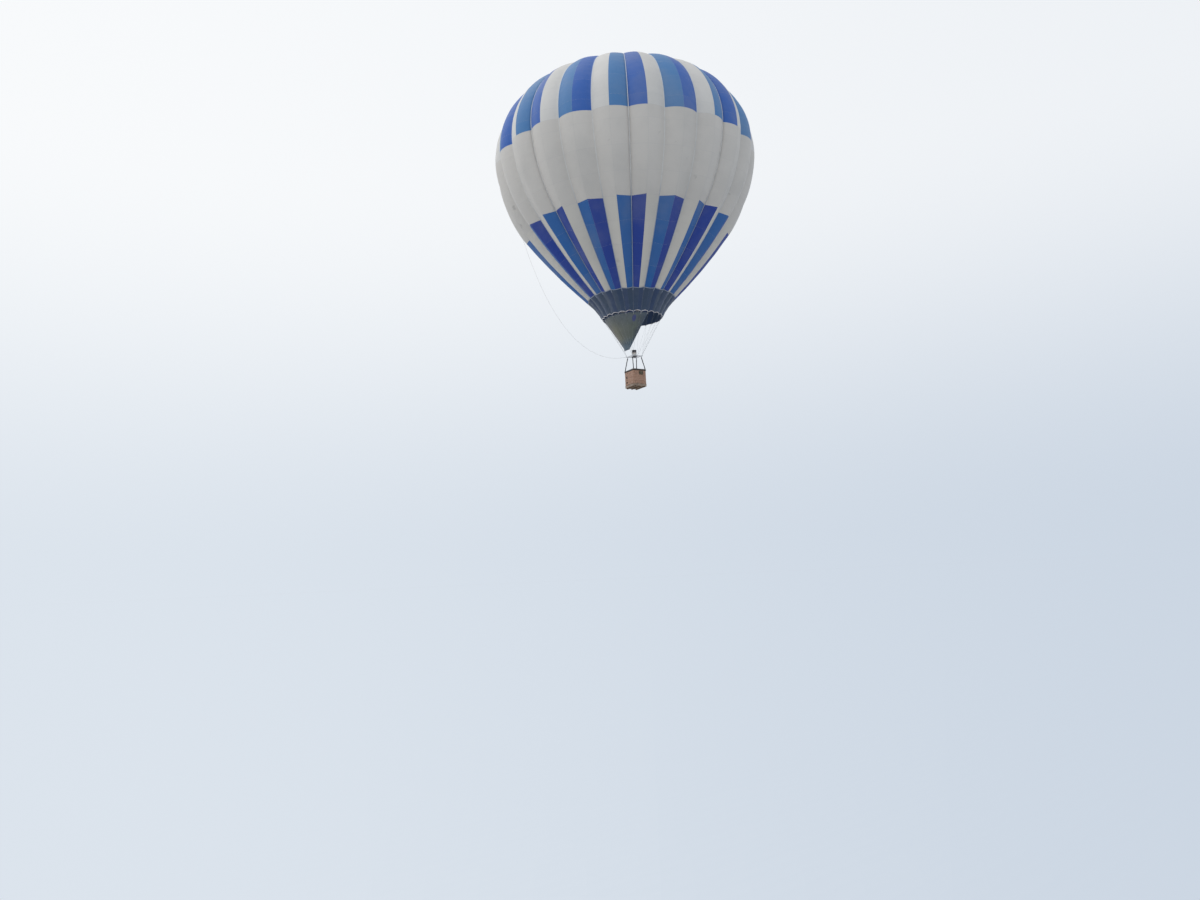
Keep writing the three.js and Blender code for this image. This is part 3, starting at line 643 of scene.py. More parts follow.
alloy = Finish("cast_alloy", {"Metallic": 1.0})
spot = alloy.place()
scratch = alloy.noise(spot, 60.0, 4.0, 0.7)
alloy.set("Base Color", alloy.mix(scratch.above(0.45, 0.7), (0.62, 0.63, 0.65), (0.42, 0.43, 0.45)))
alloy.set("Roughness", scratch * 0.25 + 0.28)
alloy.bump(scratch, 0.0003)

ring = [
    (CROWN_RING_RADIUS * math.sin(turn), CROWN_RING_RADIUS * math.cos(turn), RING_HEIGHT)
    for turn in np.linspace(0, 2 * math.pi, 17)[:-1]
]
crown_ring = curve_through("crown_ring_bar", ring, CROWN_RING_BAR, cyclic=True)
crown_ring.data.materials.append(alloy.material)
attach(crown_ring, "envelope_and_basket")

# Edge tapes
# Folded webbing that binds the cloth's raw edges: pale round the mouth's rim, which rises in an arc
# between every two load tapes, and grey on the seam above the band and round the valve opening.
pale_webbing = Finish("pale_webbing", {"Sheen Weight": 0.2})
spot = pale_webbing.place()
soiled = pale_webbing.noise(spot, 4.0, 4.0, 0.65)
colour = pale_webbing.mix(soiled.above(0.4, 0.7), (0.62, 0.59, 0.60), (0.36, 0.33, 0.33))
pale_webbing.set("Base Color", colour)
pale_webbing.set("Roughness", soiled * 0.2 + 0.6)
pale_webbing.bump(pale_webbing.noise(spot, 400.0), 0.0004)

BORDERS = (
    # name, low, high, rise, material
    ("rim_tape", -0.004, 0.040, RIM_RISE, pale_webbing.material),
    ("band_seam_tape", BAND_SEAM - 0.020, BAND_SEAM + 0.020, 0.0, webbing.material),
    ("opening_tape", OPENING_SEAM - 0.040, OPENING_SEAM + 0.010, 0.0, webbing.material),
)
for name, low, high, rise, material in BORDERS:
    border = made(
        name,
        gored,
        0.007,
        **ALL_ROUND,
        low=low,
        high=high,
        low_rise=rise,
        high_rise=rise,
        lift=0.003,
        columns=GORES * COLUMNS_EACH + 1,
        rows=3,
        material=material,
    )
    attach(border, "envelope_and_basket")

# Valve panel
# A parachute of the same striped nylon that lies under the load tapes and closes the opening from
# inside. Its edge is bound with webbing. It is drawn down to let hot air out.
VALVE_RADIUS, VALVE_INSET = 2.200, 0.026
VALVE_LOW = cap_length(VALVE_RADIUS)

valve_nylon = nylon("valve_nylon", STRIPES)
# The inside has a painted glow for the daylight through the cloth.
valve_inside = nylon("valve_nylon_inside", STRIPES, glow=0.10)
VALVE_PARTS = (
    # name, from and to, from the panel's edge, lift over it, rows, thickness, outside, inside
    ("valve_parachute", 0.0, CREST_END - VALVE_LOW, 0.0, 30, CLOTH_THICKNESS, valve_nylon, valve_inside),
    ("valve_edge_tape", -0.012, 0.028, 0.003, 3, 0.010, webbing.material, None),
)
for name, low, high, lift, rows, thickness, outside, inside in VALVE_PARTS:
    panel = made(
        name,
        gored,
        thickness,
        inside,
        **ALL_ROUND,
        low=VALVE_LOW + low,
        high=VALVE_LOW + high,
        lift=lift - VALVE_INSET,
        columns=GORES * 8 + 1,
        rows=rows,
        pucker=0.0,
        billow=0.008,
        material=outside,
    )
    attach(panel, "valve")
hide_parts("valve_panel")

# Mouth band
# Heat-proof aramid cloth in slate blue, sewn on below the nylon where the flame comes close. Its
# lower edge is drawn down at the load tapes, where the flying wires are fixed.
SLATES = ((0.034, 0.060, 0.115), (0.032, 0.057, 0.122), (0.036, 0.062, 0.111))

aramid = nylon("aramid_cloth", SLATES, sheen=0.15, thread=0.12)
# The band's inside has a stronger painted glow for the daylight through the cloth.
aramid_inside = nylon("aramid_cloth_inside", SLATES, glow=0.26, thread=0.12)
band = made(
    "mouth_band_cloth",
    gored,
    CLOTH_THICKNESS,
    aramid_inside,
    **ALL_ROUND,
    low=0.0,
    high=BAND_SEAM - SEAM_GAP,
    low_rise=RIM_RISE,
    columns=GORES * COLUMNS_EACH + 1,
    rows=24,
    material=aramid,
)
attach(band, "envelope_and_basket")
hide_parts("mouth_band")
crest(BAND_SEAM)[0] * 2 * math.pi * 1.02
cut_area(RIM_RISE * 2 / 3, BAND_SEAM, GORES)

# Scoop
# A half cone of the same aramid cloth, faded olive by heat, that turns the wind into the mouth.
# It hangs by tabs from the rim's windward half and is drawn together at a short hemmed edge.
SCOOP_FROM, SCOOP_TO = -150, 30
SCOOP_TUCK, SCOOP_RIM_DROP, SCOOP_DROP, SCOOP_ARC = 0.092, 0.012, 2.030, 0.060
SCOOP_EDGE_OUT, SCOOP_EDGE_HALF = 0.530, 0.300
SCOOP_COLUMNS, SCOOP_ROWS, HEM, HEM_THICKNESS = 72, 36, 0.002, 0.008
BASKET_TURN = Matrix.Rotation(math.radians(30), 3, "Z")


def on_scoop(across, along, inset):
    """A point on the scoop: from its right side to its left, and from its lower edge to the rim."""
    angle = math.radians(SCOOP_FROM + across * (SCOOP_TO - SCOOP_FROM))
    slack = 4 * along * (1 - along)
    fold = math.sin(across * 2 * math.pi * 8.5 + along * 1.3) * 0.007 * (1.15 - along) * min(1, 6 * along)
    sway = math.sin(across * 2 * math.pi * 3 + 0.8) * 0.012 * slack
    inset = inset + 0.020 * slack * math.sin(math.pi * across) + fold + sway
    radius = MOUTH_RADIUS - SCOOP_TUCK - inset
    rim = Vector((radius * math.sin(angle), -radius * math.cos(angle), -SCOOP_RIM_DROP))
    edge = BASKET_TURN @ Vector((-SCOOP_EDGE_OUT + inset, SCOOP_EDGE_HALF * (1 - 2 * across), -SCOOP_DROP))
    # Its top rises between two tapes as the mouth's rim does
    gore = angle / GORE_ANGLE % 1
    arc = SCOOP_ARC * 4 * gore * (1 - gore) * max(0, 5 * along - 4) ** 2
    return edge.lerp(rim, along) + Vector((0, 0, MOUTH_Z + arc))


def walled(name, mesh, material, thickness, offset, body):
    """A thin sheet as an object that rides on a body, with its thickness as a wall."""
    mesh.materials.append(material)
    piece = bpy.data.objects.new(name, mesh)
    scene.collection.objects.link(piece)
    wall = piece.modifiers.new("wall", "SOLIDIFY")
    wall.thickness, wall.offset = thickness, offset
    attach(piece, body)
    return piece


def scoop_cloth(name, across, along, counts, inset, thickness, material):
    """Part of the scoop between two shares across and two along it, as a sheet with a wall."""
    columns, rows = counts
    places = [
        (across[0] + (across[1] - across[0]) * i / columns, along[0] + (along[1] - along[0]) * j / rows)
        for j in range(rows + 1)
        for i in range(columns + 1)
    ]
    corners = [(j * (columns + 1) + i, columns + 1) for j in range(rows) for i in range(columns)]
    mesh = bpy.data.meshes.new(name)
    faces = [(k, k + 1, k + wide + 1, k + wide) for k, wide in corners]
    mesh.from_pydata([on_scoop(*place, inset) for place in places], [], faces)
    spread = mesh.attributes.new("spread", "FLOAT_VECTOR", "POINT")
    for item, place in zip(spread.data, places):
        item.vector = (*place, 0)
    mesh.shade_smooth()
    return walled(name, mesh, material, thickness, -1, "envelope_and_basket")


SCOOP_TONES = (
    # share across, from the far side to the near one, and its colour
    (0.00, (0.105, 0.105, 0.080)),
    (0.30, (0.155, 0.140, 0.125)),
    (0.48, (0.155, 0.155, 0.110)),
    (0.68, (0.132, 0.145, 0.128)),
    (0.88, (0.104, 0.124, 0.106)),
    (1.00, (0.050, 0.070, 0.098)),
)
COOL, TIP_BLUE, PATCH_BLUE = (0.085, 0.110, 0.145), (0.070, 0.125, 0.190), (0.040, 0.050, 0.190)
scoop_aramid = Finish("scoop_aramid", {"Sheen Weight": 0.15, "Sheen Roughness": 0.5})
spot = scoop_aramid.place()
x, y, z = scoop_aramid.split(spot)
across, along, _ = scoop_aramid.attribute("spread")
scorch = scoop_aramid.noise(spot, 2.2, 5.0, 0.62)
faded = {"Fac": across + (scorch - 0.5) * 0.15}
faded = scoop_aramid.add("ShaderNodeValToRGB", {"stops": SCOOP_TONES}, faded)
colour = scoop_aramid.mix(along.above(0.55, 1.0) * 0.55, faded, COOL)
colour = scoop_aramid.mix((1 - along.above(0.10, 0.38)) * 0.75, colour, TIP_BLUE)
colour = scoop_aramid.mix(scorch.above(0.46, 0.74) * 0.30, colour, (0.045, 0.047, 0.042))
# A mended place, where a strip of blue nylon shows through the worn aramid
beside, above = abs(across - 0.850) / 0.026, abs(along - 0.850) / 0.085
mend = 1 - (beside * beside + above * above).above(0.5, 1.4)
colour = scoop_aramid.mix(mend * 0.85, colour, PATCH_BLUE)
panel_seam = abs(((x.math("ARCTAN2", y * -1)) / (2 * GORE_ANGLE)) % 1.0 - 0.5)
seam = 1 - panel_seam.above(0.010, 0.016)
colour = scoop_aramid.mix(seam * 0.35, colour, (0.16, 0.17, 0.15))
scoop_aramid.set("Base Color", colour)
scoop_aramid.set("Roughness", scorch * 0.2 + 0.6)
relief = scoop_aramid.bump(scoop_aramid.noise(spot, 7.0, 3.0, 0.6), 0.012)
relief = scoop_aramid.bump(seam, 0.0015, relief)
weave = [(part * (2 * math.pi / 0.0018)).sine() for part in (x + y, z)]
scoop_aramid.bump(weave[0] * weave[1], 0.0002, relief)

whole, level, upright = (SCOOP_COLUMNS, SCOOP_ROWS), (SCOOP_COLUMNS, 1), (1, SCOOP_ROWS)
scoop = scoop_cloth("scoop_sheet", (0, 1), (0, 1), whole, 0.0, CLOTH_THICKNESS, scoop_aramid.material)
SCOOP_HEMS = (
    # name, shares across, shares along, columns and rows
    ("scoop_hem", (0, 1), (0, 0.018), level),
    ("scoop_top_tape", (0, 1), (0.980, 1), level),
    ("scoop_side_1", (0, 0.012), (0.018, 0.984), upright),
    ("scoop_side_2", (0.988, 1), (0.018, 0.984), upright),
)
hems = [scoop_cloth(*hem, -HEM, HEM_THICKNESS, webbing.material) for hem in SCOOP_HEMS]
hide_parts("scoop")

# Tabs that hold the scoop under the rim, one at each load tape
TAB_HALF, TAB_DROP, TAB_THICKNESS = 0.014, 0.020, 0.002
tabs = bmesh.new()
for azimuth in range(SCOOP_FROM, SCOOP_TO + 1, 360 // GORES):
    share = min(max((azimuth - SCOOP_FROM) / (SCOOP_TO - SCOOP_FROM), 0.004), 0.996)
    rim_point = on_envelope(azimuth, 0.03, -0.006)
    top_point = on_scoop(share, 0.985, -0.004)
    aside = Vector((math.cos(math.radians(azimuth)), math.sin(math.radians(azimuth)), 0)) * TAB_HALF
    drop = Vector((0, 0, -TAB_DROP))
    path = [rim_point, rim_point * 0.6 + top_point * 0.4 + drop * 0.4, top_point + drop * 0.2]
    path.append(on_scoop(share, 0.965, -0.006))
    rows = [[tabs.verts.new(point + side) for side in (-aside, aside)] for point in path]
    for (a, b), (c, d) in zip(rows, rows[1:]):
        tabs.faces.new((a, b, d, c))
tab_mesh = bpy.data.meshes.new("scoop_tabs")
tabs.to_mesh(tab_mesh)
tabs.free()
walled("scoop_tabs", tab_mesh, pale_webbing.material, TAB_THICKNESS, 0, "envelope_and_basket")

# Flying wires
# Stainless steel cables, six from the mouth's load tapes to each corner of the burner frame. Their
# ends are turned round thimbles in swaged sleeves and hang on a screw-gate karabiner in the lug.
WIRE_RADIUS, WIRE_RISE, THIMBLE_RADIUS = 0.003, 0.016, 0.00868
KARABINER_RADIUS, KARABINER_BAR = 0.030, 0.006
FRAME_Z = -11.79
FRAME_HALF_X, FRAME_HALF_Y, LUG_OUT = 0.331, 0.291, 0.048
CORNERS = (("near", -1, -1, -4), ("right", 1, -1, 2), ("far", 1, 1, 8), ("left", -1, 1, 14))


def metal(name, colour, dull, roughness, grain, metallic=1.0, stretch=(1, 1, 1)):
    """A metal that is scuffed in patches, with a grain that can be stretched along an axis."""
    made_of = Finish(name, {"Metallic": metallic})
    drawn = made_of.add("ShaderNodeMapping", None, {"Vector": made_of.place(), "Scale": stretch})
    grain = made_of.noise(drawn, grain, 5.0, 0.65)
    scuffs = made_of.noise(made_of.place(), 9.0, 5.0, 0.6).above(0.46, 0.68)
    made_of.set("Base Color", made_of.mix(scuffs * 0.6 + grain * 0.25, colour, dull))
    made_of.set("Roughness", scuffs * 0.18 + grain * 0.12 + roughness)
    made_of.bump(grain, 0.0002)
    return made_of.material


def runs_of(name, runs, radius, material, resolution=2):
    """Straight or bent cables in one object; each run is a list of points with a share of the radius."""
    data = bpy.data.curves.new(name, "CURVE")
    data.dimensions, data.bevel_depth, data.bevel_resolution = "3D", 1.0, resolution
    data.use_fill_caps = True
    for run in runs:
        spline = data.splines.new("POLY")
        spline.points.add(len(run) - 1)
        for knot, (point, share) in zip(spline.points, run):
            knot.co, knot.radius = (*point, 1), share * radius
    data.materials.append(material)
    runs = bpy.data.objects.new(name, data)
    scene.collection.objects.link(runs)
    return runs


def in_basket(x, y, z):
    """A point given in the basket's own axes, which are turned from the envelope's."""
    return BASKET_TURN @ Vector((x, y, z))


def ring_points(centre, out, up, radius, steps, tall=1.0, start=0.0, end=2 * math.pi):
    """Points on an oval about a centre, in the plane of two directions."""
    turns = np.linspace(start, end, steps)
    return [centre + (out * math.sin(t) + up * (math.cos(t) * tall)) * radius for t in turns]


cable_steel = metal("cable_steel", (0.45, 0.46, 0.47), (0.28, 0.28, 0.29), 0.42, 400.0)
karabiner_steel = metal("karabiner_steel", (0.56, 0.57, 0.60), (0.26, 0.26, 0.27), 0.22, 60.0)
# Distance from the cable's end, and the radius there as a share of the cable's
LOWER_SLEEVE = ((0, 1.0), (0.030, 1.0), (0.031, 1.9), (0.075, 1.9), (0.076, 1.0))
UPPER_SLEEVE = ((0.110, 1.0), (0.109, 1.9), (0.066, 1.9), (0.065, 1.0), (0.034, 1.0))
UP = Vector((0, 0, 1))
for name, x, y, first_tape in CORNERS:
    lug = in_basket(x * (FRAME_HALF_X + LUG_OUT), y * (FRAME_HALF_Y + LUG_OUT), FRAME_Z)
    eye = lug + UP * 2 * KARABINER_RADIUS
    runs = []
    for i in range(GORES // len(CORNERS)):
        angle = (first_tape + i) * GORE_ANGLE
        radius = MOUTH_RADIUS * (1 - GORE_FORM[0][1]) - WIRE_RADIUS
        outwards = Vector((math.sin(angle), -math.cos(angle), 0))
        top = outwards * radius + UP * (MOUTH_Z + WIRE_RISE)
        along = (top - eye).normalized()
        low = eye + UP * KARABINER_BAR
        runs.append([(low + along * reach, share) for reach, share in LOWER_SLEEVE])
        runs[-1] += [(top - along * reach, share) for reach, share in UPPER_SLEEVE]
        around = ring_points(top - along * 0.018, outwards.cross(along), along, 0.012, 14, 1.5)
        runs.append([(point, 1.0) for point in around])
    cables = runs_of(f"flying_cables_{name}", runs, WIRE_RADIUS * 0.9, cable_steel)
    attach(cables, "envelope_and_basket")
    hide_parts(f"flying_wires_{name}")

    bearing = Vector((lug.x, lug.y, 0)).normalized()
    middle = lug + UP * KARABINER_RADIUS
    side = bearing.cross(UP)
    oval = ring_points(middle, side, UP, KARABINER_RADIUS, 29)
    gate = ring_points(middle, side, UP, KARABINER_RADIUS, 15, start=1.0, end=2.0)
    eye_ring = ring_points(eye + UP * 0.001, bearing, UP, THIMBLE_RADIUS, 15)
    ends = (gate[0], gate[-1])
    parts = [
        [(point, 1.0) for point in oval],
        [(point, 1.2 if point in ends else 1.55) for point in gate],
        [(point, 0.8) for point in eye_ring],
    ]
    karabiner = runs_of(f"karabiner_{name}", parts, KARABINER_BAR, karabiner_steel, 3)
    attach(karabiner, "envelope_and_basket")

# Burner frame and gimbal
# A welded square of stainless tube on four corner posts, with a lug for each karabiner. The gimbal
# ring turns in its two bosses, and the burner's band turns on two pins in the ring's sleeves.
FRAME_TUBE, POST_RADIUS, POST_DROP, POST_RISE = 0.019, 0.029, 0.090, 0.023
LUG_INNER, LUG_OUTER, LUG_HALF_HEIGHT, LUG_THICKNESS, LUG_HOLE = 0.062, 0.030, 0.028, 0.008, 0.015
BOSS_RADIUS, BOSS_INNER = 0.021, 0.268
BOSS_CAP = (  # radius, distance from the middle
    (0, 0.356), (0.012, 0.356), (0.017, 0.352), (0.017, 0.345), (0.023, 0.343), (0.023, 0.330), (0, 0.330),
)
RING_RADIUS, RING_BAR, RING_PIN_END = 0.215, 0.0125, 0.288
SLEEVE_RADIUS, SLEEVE_INNER, SLEEVE_OUTER = 0.019, 0.197, 0.235
PIN_RADIUS, PIN_HOLE = 0.008, 0.0086
BAND_RADIUS, BAND_WALL, BAND_HALF, BAND_PIN_END = 0.148, 0.005, 0.015, 0.239
HUB_RADIUS, HUB_HALF, SPOKE_WIDTH, SPOKE_HEIGHT = 0.034, 0.012, 0.012, 0.016

stainless = metal("stainless_tube", (0.55, 0.56, 0.58), (0.33, 0.33, 0.34), 0.26, 30.0, stretch=(1, 1, 7))
blued = metal("blued_steel", (0.20, 0.20, 0.22), (0.11, 0.105, 0.10), 0.38, 50.0)


def turned(degrees, axis="Z"):
    return Matrix.Rotation(math.radians(degrees), 4, axis)


def moved(x, y=0.0, z=0.0):
    return Matrix.Translation((x, y, z))


class Shop:
    """Gathers turned, boxed and bent parts of one piece, each with its own material."""

    def __init__(self, base):
        self.mesh, self.base, self.materials = bmesh.new(), base, []

    def coat(self, faces, material):
        if material not in self.materials:
            self.materials.append(material)
        for face in faces:
            face.material_index = self.materials.index(material)

    def skin(self, rings, material, closed=False):
        """Quads between rings of points, in a loop where it is closed and else with flat ends."""
        rings = [[self.mesh.verts.new(point) for point in ring] for ring in rings]
        pairs = list(zip(rings, rings[1:])) + ([(rings[-1], rings[0])] if closed else [])
        faces = []
        for low, high in pairs:
            for k in range(len(low)):
                m = (k + 1) % len(low)
                faces.append(self.mesh.faces.new((low[k], low[m], high[m], high[k])))
        if not closed:
            faces += [self.mesh.faces.new(rings[0][::-1]), self.mesh.faces.new(rings[-1])]
        bmesh.ops.recalc_face_normals(self.mesh, faces=faces)
        self.coat(faces, material)

    def turn(self, profile, material, place=None, segments=24):
        """A solid turned about Z from radius and height pairs, open or closed at its ends."""
        place = place or Matrix()
        rings = []
        for radius, height in profile:
            if radius < 1e-6:
                rings.append([self.mesh.verts.new(place @ Vector((0, 0, height)))])
                continue
            turns = [2 * math.pi * i / segments for i in range(segments)]
            ring = [Vector((radius * math.cos(t), radius * math.sin(t), height)) for t in turns]
            rings.append([self.mesh.verts.new(place @ point) for point in ring])
        faces = []
        for low, high in zip(rings, rings[1:]):
            for i in range(segments):
                j = (i + 1) % segments
                corners = [low[i % len(low)], low[j % len(low)], high[j % len(high)], high[i % len(high)]]
                corners = list(dict.fromkeys(corners))
                if len(corners) > 2:
                    faces.append(self.mesh.faces.new(corners))
        bmesh.ops.recalc_face_normals(self.mesh, faces=faces)
        self.coat(faces, material)

    def box(self, size, place, material, bevel=0.003):
        """A block with round edges, centred on a place."""
        place = place if isinstance(place, Matrix) else Matrix.Translation(place)
        cube = bmesh.ops.create_cube(self.mesh, size=1.0, matrix=place @ Matrix.Diagonal((*size, 1)))
        edges = list(dict.fromkeys(edge for vertex in cube["verts"] for edge in vertex.link_edges))
        faces = {face for vertex in cube["verts"] for face in vertex.link_faces}
        if bevel:
            settings = {"offset": bevel, "segments": 2, "profile": 0.5, "affect": "EDGES"}
            round_off = bmesh.ops.bevel(self.mesh, geom=edges, **settings)
            faces = {face for vertex in round_off["verts"] for face in vertex.link_faces}
        self.coat(faces, material)

    def bend(self, points, radius, material, sides=10, closed=False):
        """A bar or pipe along points, with flat ends. radius is one value or one for each point."""
        points = [Vector(point) for point in points]
        radii = list(radius) if hasattr(radius, "__len__") else [radius] * len(points)
        count = len(points)
        aside = None
        rings = []
        for i, point in enumerate(points):
            before = points[i - 1] if i or closed else point
            after = points[(i + 1) % count] if i < count - 1 or closed else point
            along = (after - before).normalized()
            guess = aside or (UP if abs(along.z) < 0.9 else Vector((1, 0, 0)))
            aside = (guess - along * guess.dot(along)).normalized()
            other = along.cross(aside)
            turns = [2 * math.pi * k / sides for k in range(sides)]
            rings.append([point + (aside * math.cos(t) + other * math.sin(t)) * radii[i] for t in turns])
        self.skin(rings, material, closed)

    def piece(self, name, body, slot, stands_for=(), sharp=35, cover=None):
        """The parts as one object in the balloon's axes, riding on a body. Edges sharper than an angle
        stay sharp, and a cover is blown up first."""
        mesh = bpy.data.meshes.new(name)
        self.mesh.to_mesh(mesh)
        self.mesh.free()
        if cover:
            mesh = blown_up(mesh, **cover)
        mesh.transform(self.base)
        for material in self.materials:
            mesh.materials.append(material)
        mesh.shade_smooth()
        mesh.set_sharp_from_angle(angle=math.radians(sharp))
        piece = bpy.data.objects.new(name, mesh)
        scene.collection.objects.link(piece)
        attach(piece, body)
        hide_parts(*stands_for)
        return piece


BURNER_AXES = Matrix.Translation((0, 0, FRAME_Z)) @ BASKET_TURN.to_4x4()
ALONG_X, ALONG_Y = turned(90, "Y"), turned(-90, "X")
SIDEWAYS, LENGTHWAYS = Vector((1, 0, 0)), Vector((0, 1, 0))


def bar(radius, low, high, chamfer=0.0, hole=0.0):
    """The profile of a round bar with square or broken edges, solid or with a hole through it."""
    outside = [(radius, low), (radius, high)]
    if chamfer:
        outside = [(radius - chamfer, low), (radius, low + chamfer)]
        outside += [(radius, high - chamfer), (radius - chamfer, high)]
    return [(hole, low), *outside, (hole, high)] + ([(hole, low)] if hole else [])


def hoop(height, radius, count):
    """Points on a level circle about the middle of the burner."""
    return ring_points(UP * height, SIDEWAYS, LENGTHWAYS, radius, count + 1)[:-1]


corner_frame = Shop(BURNER_AXES)
for i, (_, x, y, _) in enumerate(CORNERS):
    post = Vector((x * FRAME_HALF_X, y * FRAME_HALF_Y, 0))
    corner_frame.turn(bar(POST_RADIUS, -POST_DROP, POST_RISE, 0.002), stainless, moved(*post), 40)
    _, next_x, next_y, _ = CORNERS[(i + 1) % len(CORNERS)]
    side = Vector((next_x * FRAME_HALF_X, next_y * FRAME_HALF_Y, 0)) - post
    lie = moved(*post) @ UP.rotation_difference(side).to_matrix().to_4x4()
    corner_frame.turn([(FRAME_TUBE, 0.020), (FRAME_TUBE, side.length - 0.020)], stainless, lie, 32)
    # The lug is a plate with a round eye, whose outline follows the eye's own segments
    outwards = turned(math.degrees(math.atan2(post.y, post.x)))
    lug_place = moved(*(post + Vector((x, y, 0)) * LUG_OUT)) @ outwards
    hole, outline = [], []
    for t in np.linspace(0, 2 * math.pi, 49)[:-1]:
        across, rise = math.cos(t), math.sin(t)
        sideways = (LUG_OUTER if across > 0 else LUG_INNER) / max(abs(across), 1e-9)
        reach = min(sideways, LUG_HALF_HEIGHT / max(abs(rise), 1e-9))
        hole.append((across * LUG_HOLE, rise * LUG_HOLE))
        outline.append((across * reach, rise * reach))
    half = LUG_THICKNESS / 2
    plate = ((-half, hole), (-half, outline), (half, outline), (half, hole))
    plate = [[lug_place @ Vector((across, deep, rise)) for across, rise in edge] for deep, edge in plate]
    corner_frame.skin(plate, stainless, closed=True)
    # Weld beads round the tubes where they meet the post
    for direction in (Vector((-x, 0, 0)), Vector((0, -y, 0))):
        centre = post + direction * (POST_RADIUS - 0.002)
        ring = ring_points(centre, direction.cross(UP), UP, FRAME_TUBE + 0.0005, 49)[:-1]
        corner_frame.bend(ring, [0.0020 + 0.0007 * (k % 2) for k in range(48)], stainless, 6, closed=True)
for side in (-1, 1):
    lie = turned(side * 90, "Y")
    corner_frame.turn(bar(BOSS_RADIUS, BOSS_INNER, FRAME_HALF_X, 0.002, PIN_HOLE), stainless, lie, 32)
    corner_frame.turn(BOSS_CAP, stainless, lie, 24)
corner_frame.piece("burner_frame_welded", "envelope_and_basket", "steel", ("burner_frame",))

gimbal = Shop(BURNER_AXES)
gimbal.bend(hoop(0, RING_RADIUS, 96), RING_BAR, stainless, 20, closed=True)
for side in (-1, 1):
    gimbal.turn(bar(PIN_RADIUS, RING_RADIUS, RING_PIN_END, 0.001), stainless, turned(side * 90, "Y"), 20)
    sleeve = bar(SLEEVE_RADIUS, SLEEVE_INNER, SLEEVE_OUTER, 0.002, PIN_HOLE)
    gimbal.turn(sleeve, stainless, turned(side * -90, "X"), 32)
gimbal.piece("gimbal_hoop", "gimbal", "steel", ("gimbal_ring",))

# The band: a hoop of strip on three spokes round the hub that the valve block hangs on
carrier = Shop(BURNER_AXES)
inside = BAND_RADIUS - BAND_WALL
carrier.turn(bar(BAND_RADIUS, -BAND_HALF, BAND_HALF, 0.001, inside), blued, None, 72)
carrier.turn(bar(HUB_RADIUS, -HUB_HALF, HUB_HALF, 0.002), blued, None, 36)
for i in range(3):
    spoke = turned(30 + 120 * i) @ moved(inside / 2 + 0.014)
    carrier.box((inside - 0.026, SPOKE_WIDTH, SPOKE_HEIGHT), spoke, blued, 0.0015)
for side in (-1, 1):
    carrier.turn(bar(PIN_RADIUS, inside + 0.001, BAND_PIN_END, 0.001), blued, turned(side * -90, "X"), 20)
carrier.piece("burner_carrier", "burner", "steel", ("burner_band",))

# Crown line's ends
# Made fast with bowlines: to the crown ring above, and below to the karabiner at the left corner.
left_karabiner = in_basket(-FRAME_HALF_X - LUG_OUT, FRAME_HALF_Y + LUG_OUT, FRAME_Z + KARABINER_RADIUS)
LINE_KNOTS = (
    # the line's end, what it is tied round
    (line_points[0], on_envelope(LINE_TAPE, RING_LENGTH)),
    (line_points[-1], left_karabiner),
)
rope = Finish("braided_rope", {"Sheen Weight": 0.15})
spot = rope.place()
x, y, z = rope.split(spot)
braid = ((x + z * 0.7) * 1900).sine() * ((y - z * 0.7) * 1900).sine()
soil = rope.noise(spot, 3.0, 4.0, 0.6)
rope.set("Base Color", rope.mix(soil * 0.6, (0.56, 0.55, 0.51), (0.30, 0.29, 0.26)))
rope.set("Roughness", soil * 0.15 + 0.65)
rope.bump(braid, 0.0006)
crown_line.data.materials.append(rope.material)
knots = Shop(Matrix())
for end, held_by in LINE_KNOTS:
    along = (held_by - end).normalized()
    aside = along.cross(UP).normalized()
    for k in range(3):
        wrap = ring_points(end + along * (0.006 - 0.010 * k), aside, along.cross(aside), 0.0085, 17)[:-1]
        knots.bend(wrap, 0.0048, rope.material, 8, closed=True)
    half = (held_by - end).length / 2
    loop = [
        end + along * half * (1 - math.cos(t)) + aside * 0.011 * math.sin(t)
        for t in np.linspace(0.15, 2 * math.pi - 0.15, 23)
    ]
    knots.bend(loop, 0.0046, rope.material, 8)
    tail = [end - along * (0.012 * k) + aside * (0.010 + 0.003 * k) - UP * (0.002 * k * k) for k in range(6)]
    knots.bend(tail, 0.0046, rope.material, 8)
knots.piece("crown_line_knots", "envelope_and_basket", "rope")

# Burner can
# A flared tube of thin stainless sheet round the coil, bright below, straw and brown where it gets
# hot and sooty at the mouth. Its rims are rolled over, and slots near the foot let air in.
CAN_RADIUS, CAN_FLARE, CAN_BOTTOM, CAN_TOP = 0.140, 0.002, 0.020, 0.400
CAN_WALL = 0.002
SLOTS, SLOT_LOW, SLOT_HIGH = 18, 0.052, 0.088

burnt = Finish("heat_tinted_sheet", {"Metallic": 1.0})
spot = burnt.place()
_, _, height = burnt.split(spot)
cloud = burnt.noise(spot, 7.0, 4.0, 0.6)
heat = (height - (FRAME_Z + CAN_BOTTOM)) / (CAN_TOP - CAN_BOTTOM) + (cloud - 0.5) * 0.35
HEAT_TONES = (
    # share of the can's height, and its colour
    (0.0, (0.58, 0.58, 0.58)),
    (0.36, (0.52, 0.50, 0.47)),
    (0.52, (0.40, 0.35, 0.29)),
    (0.64, (0.22, 0.20, 0.21)),
    (0.76, (0.085, 0.085, 0.095)),
    (1.0, (0.032, 0.032, 0.032)),
)
tint = burnt.add("ShaderNodeValToRGB", {"stops": HEAT_TONES}, {"Fac": heat})
streaks = burnt.add("ShaderNodeMapping", None, {"Vector": spot, "Scale": (40, 40, 2)})
streak = burnt.noise(streaks, 1.0, 3.0, 0.6)
burnt.set("Base Color", burnt.mix(streak.above(0.5, 0.8) * 0.4, tint, (0.20, 0.19, 0.18)))
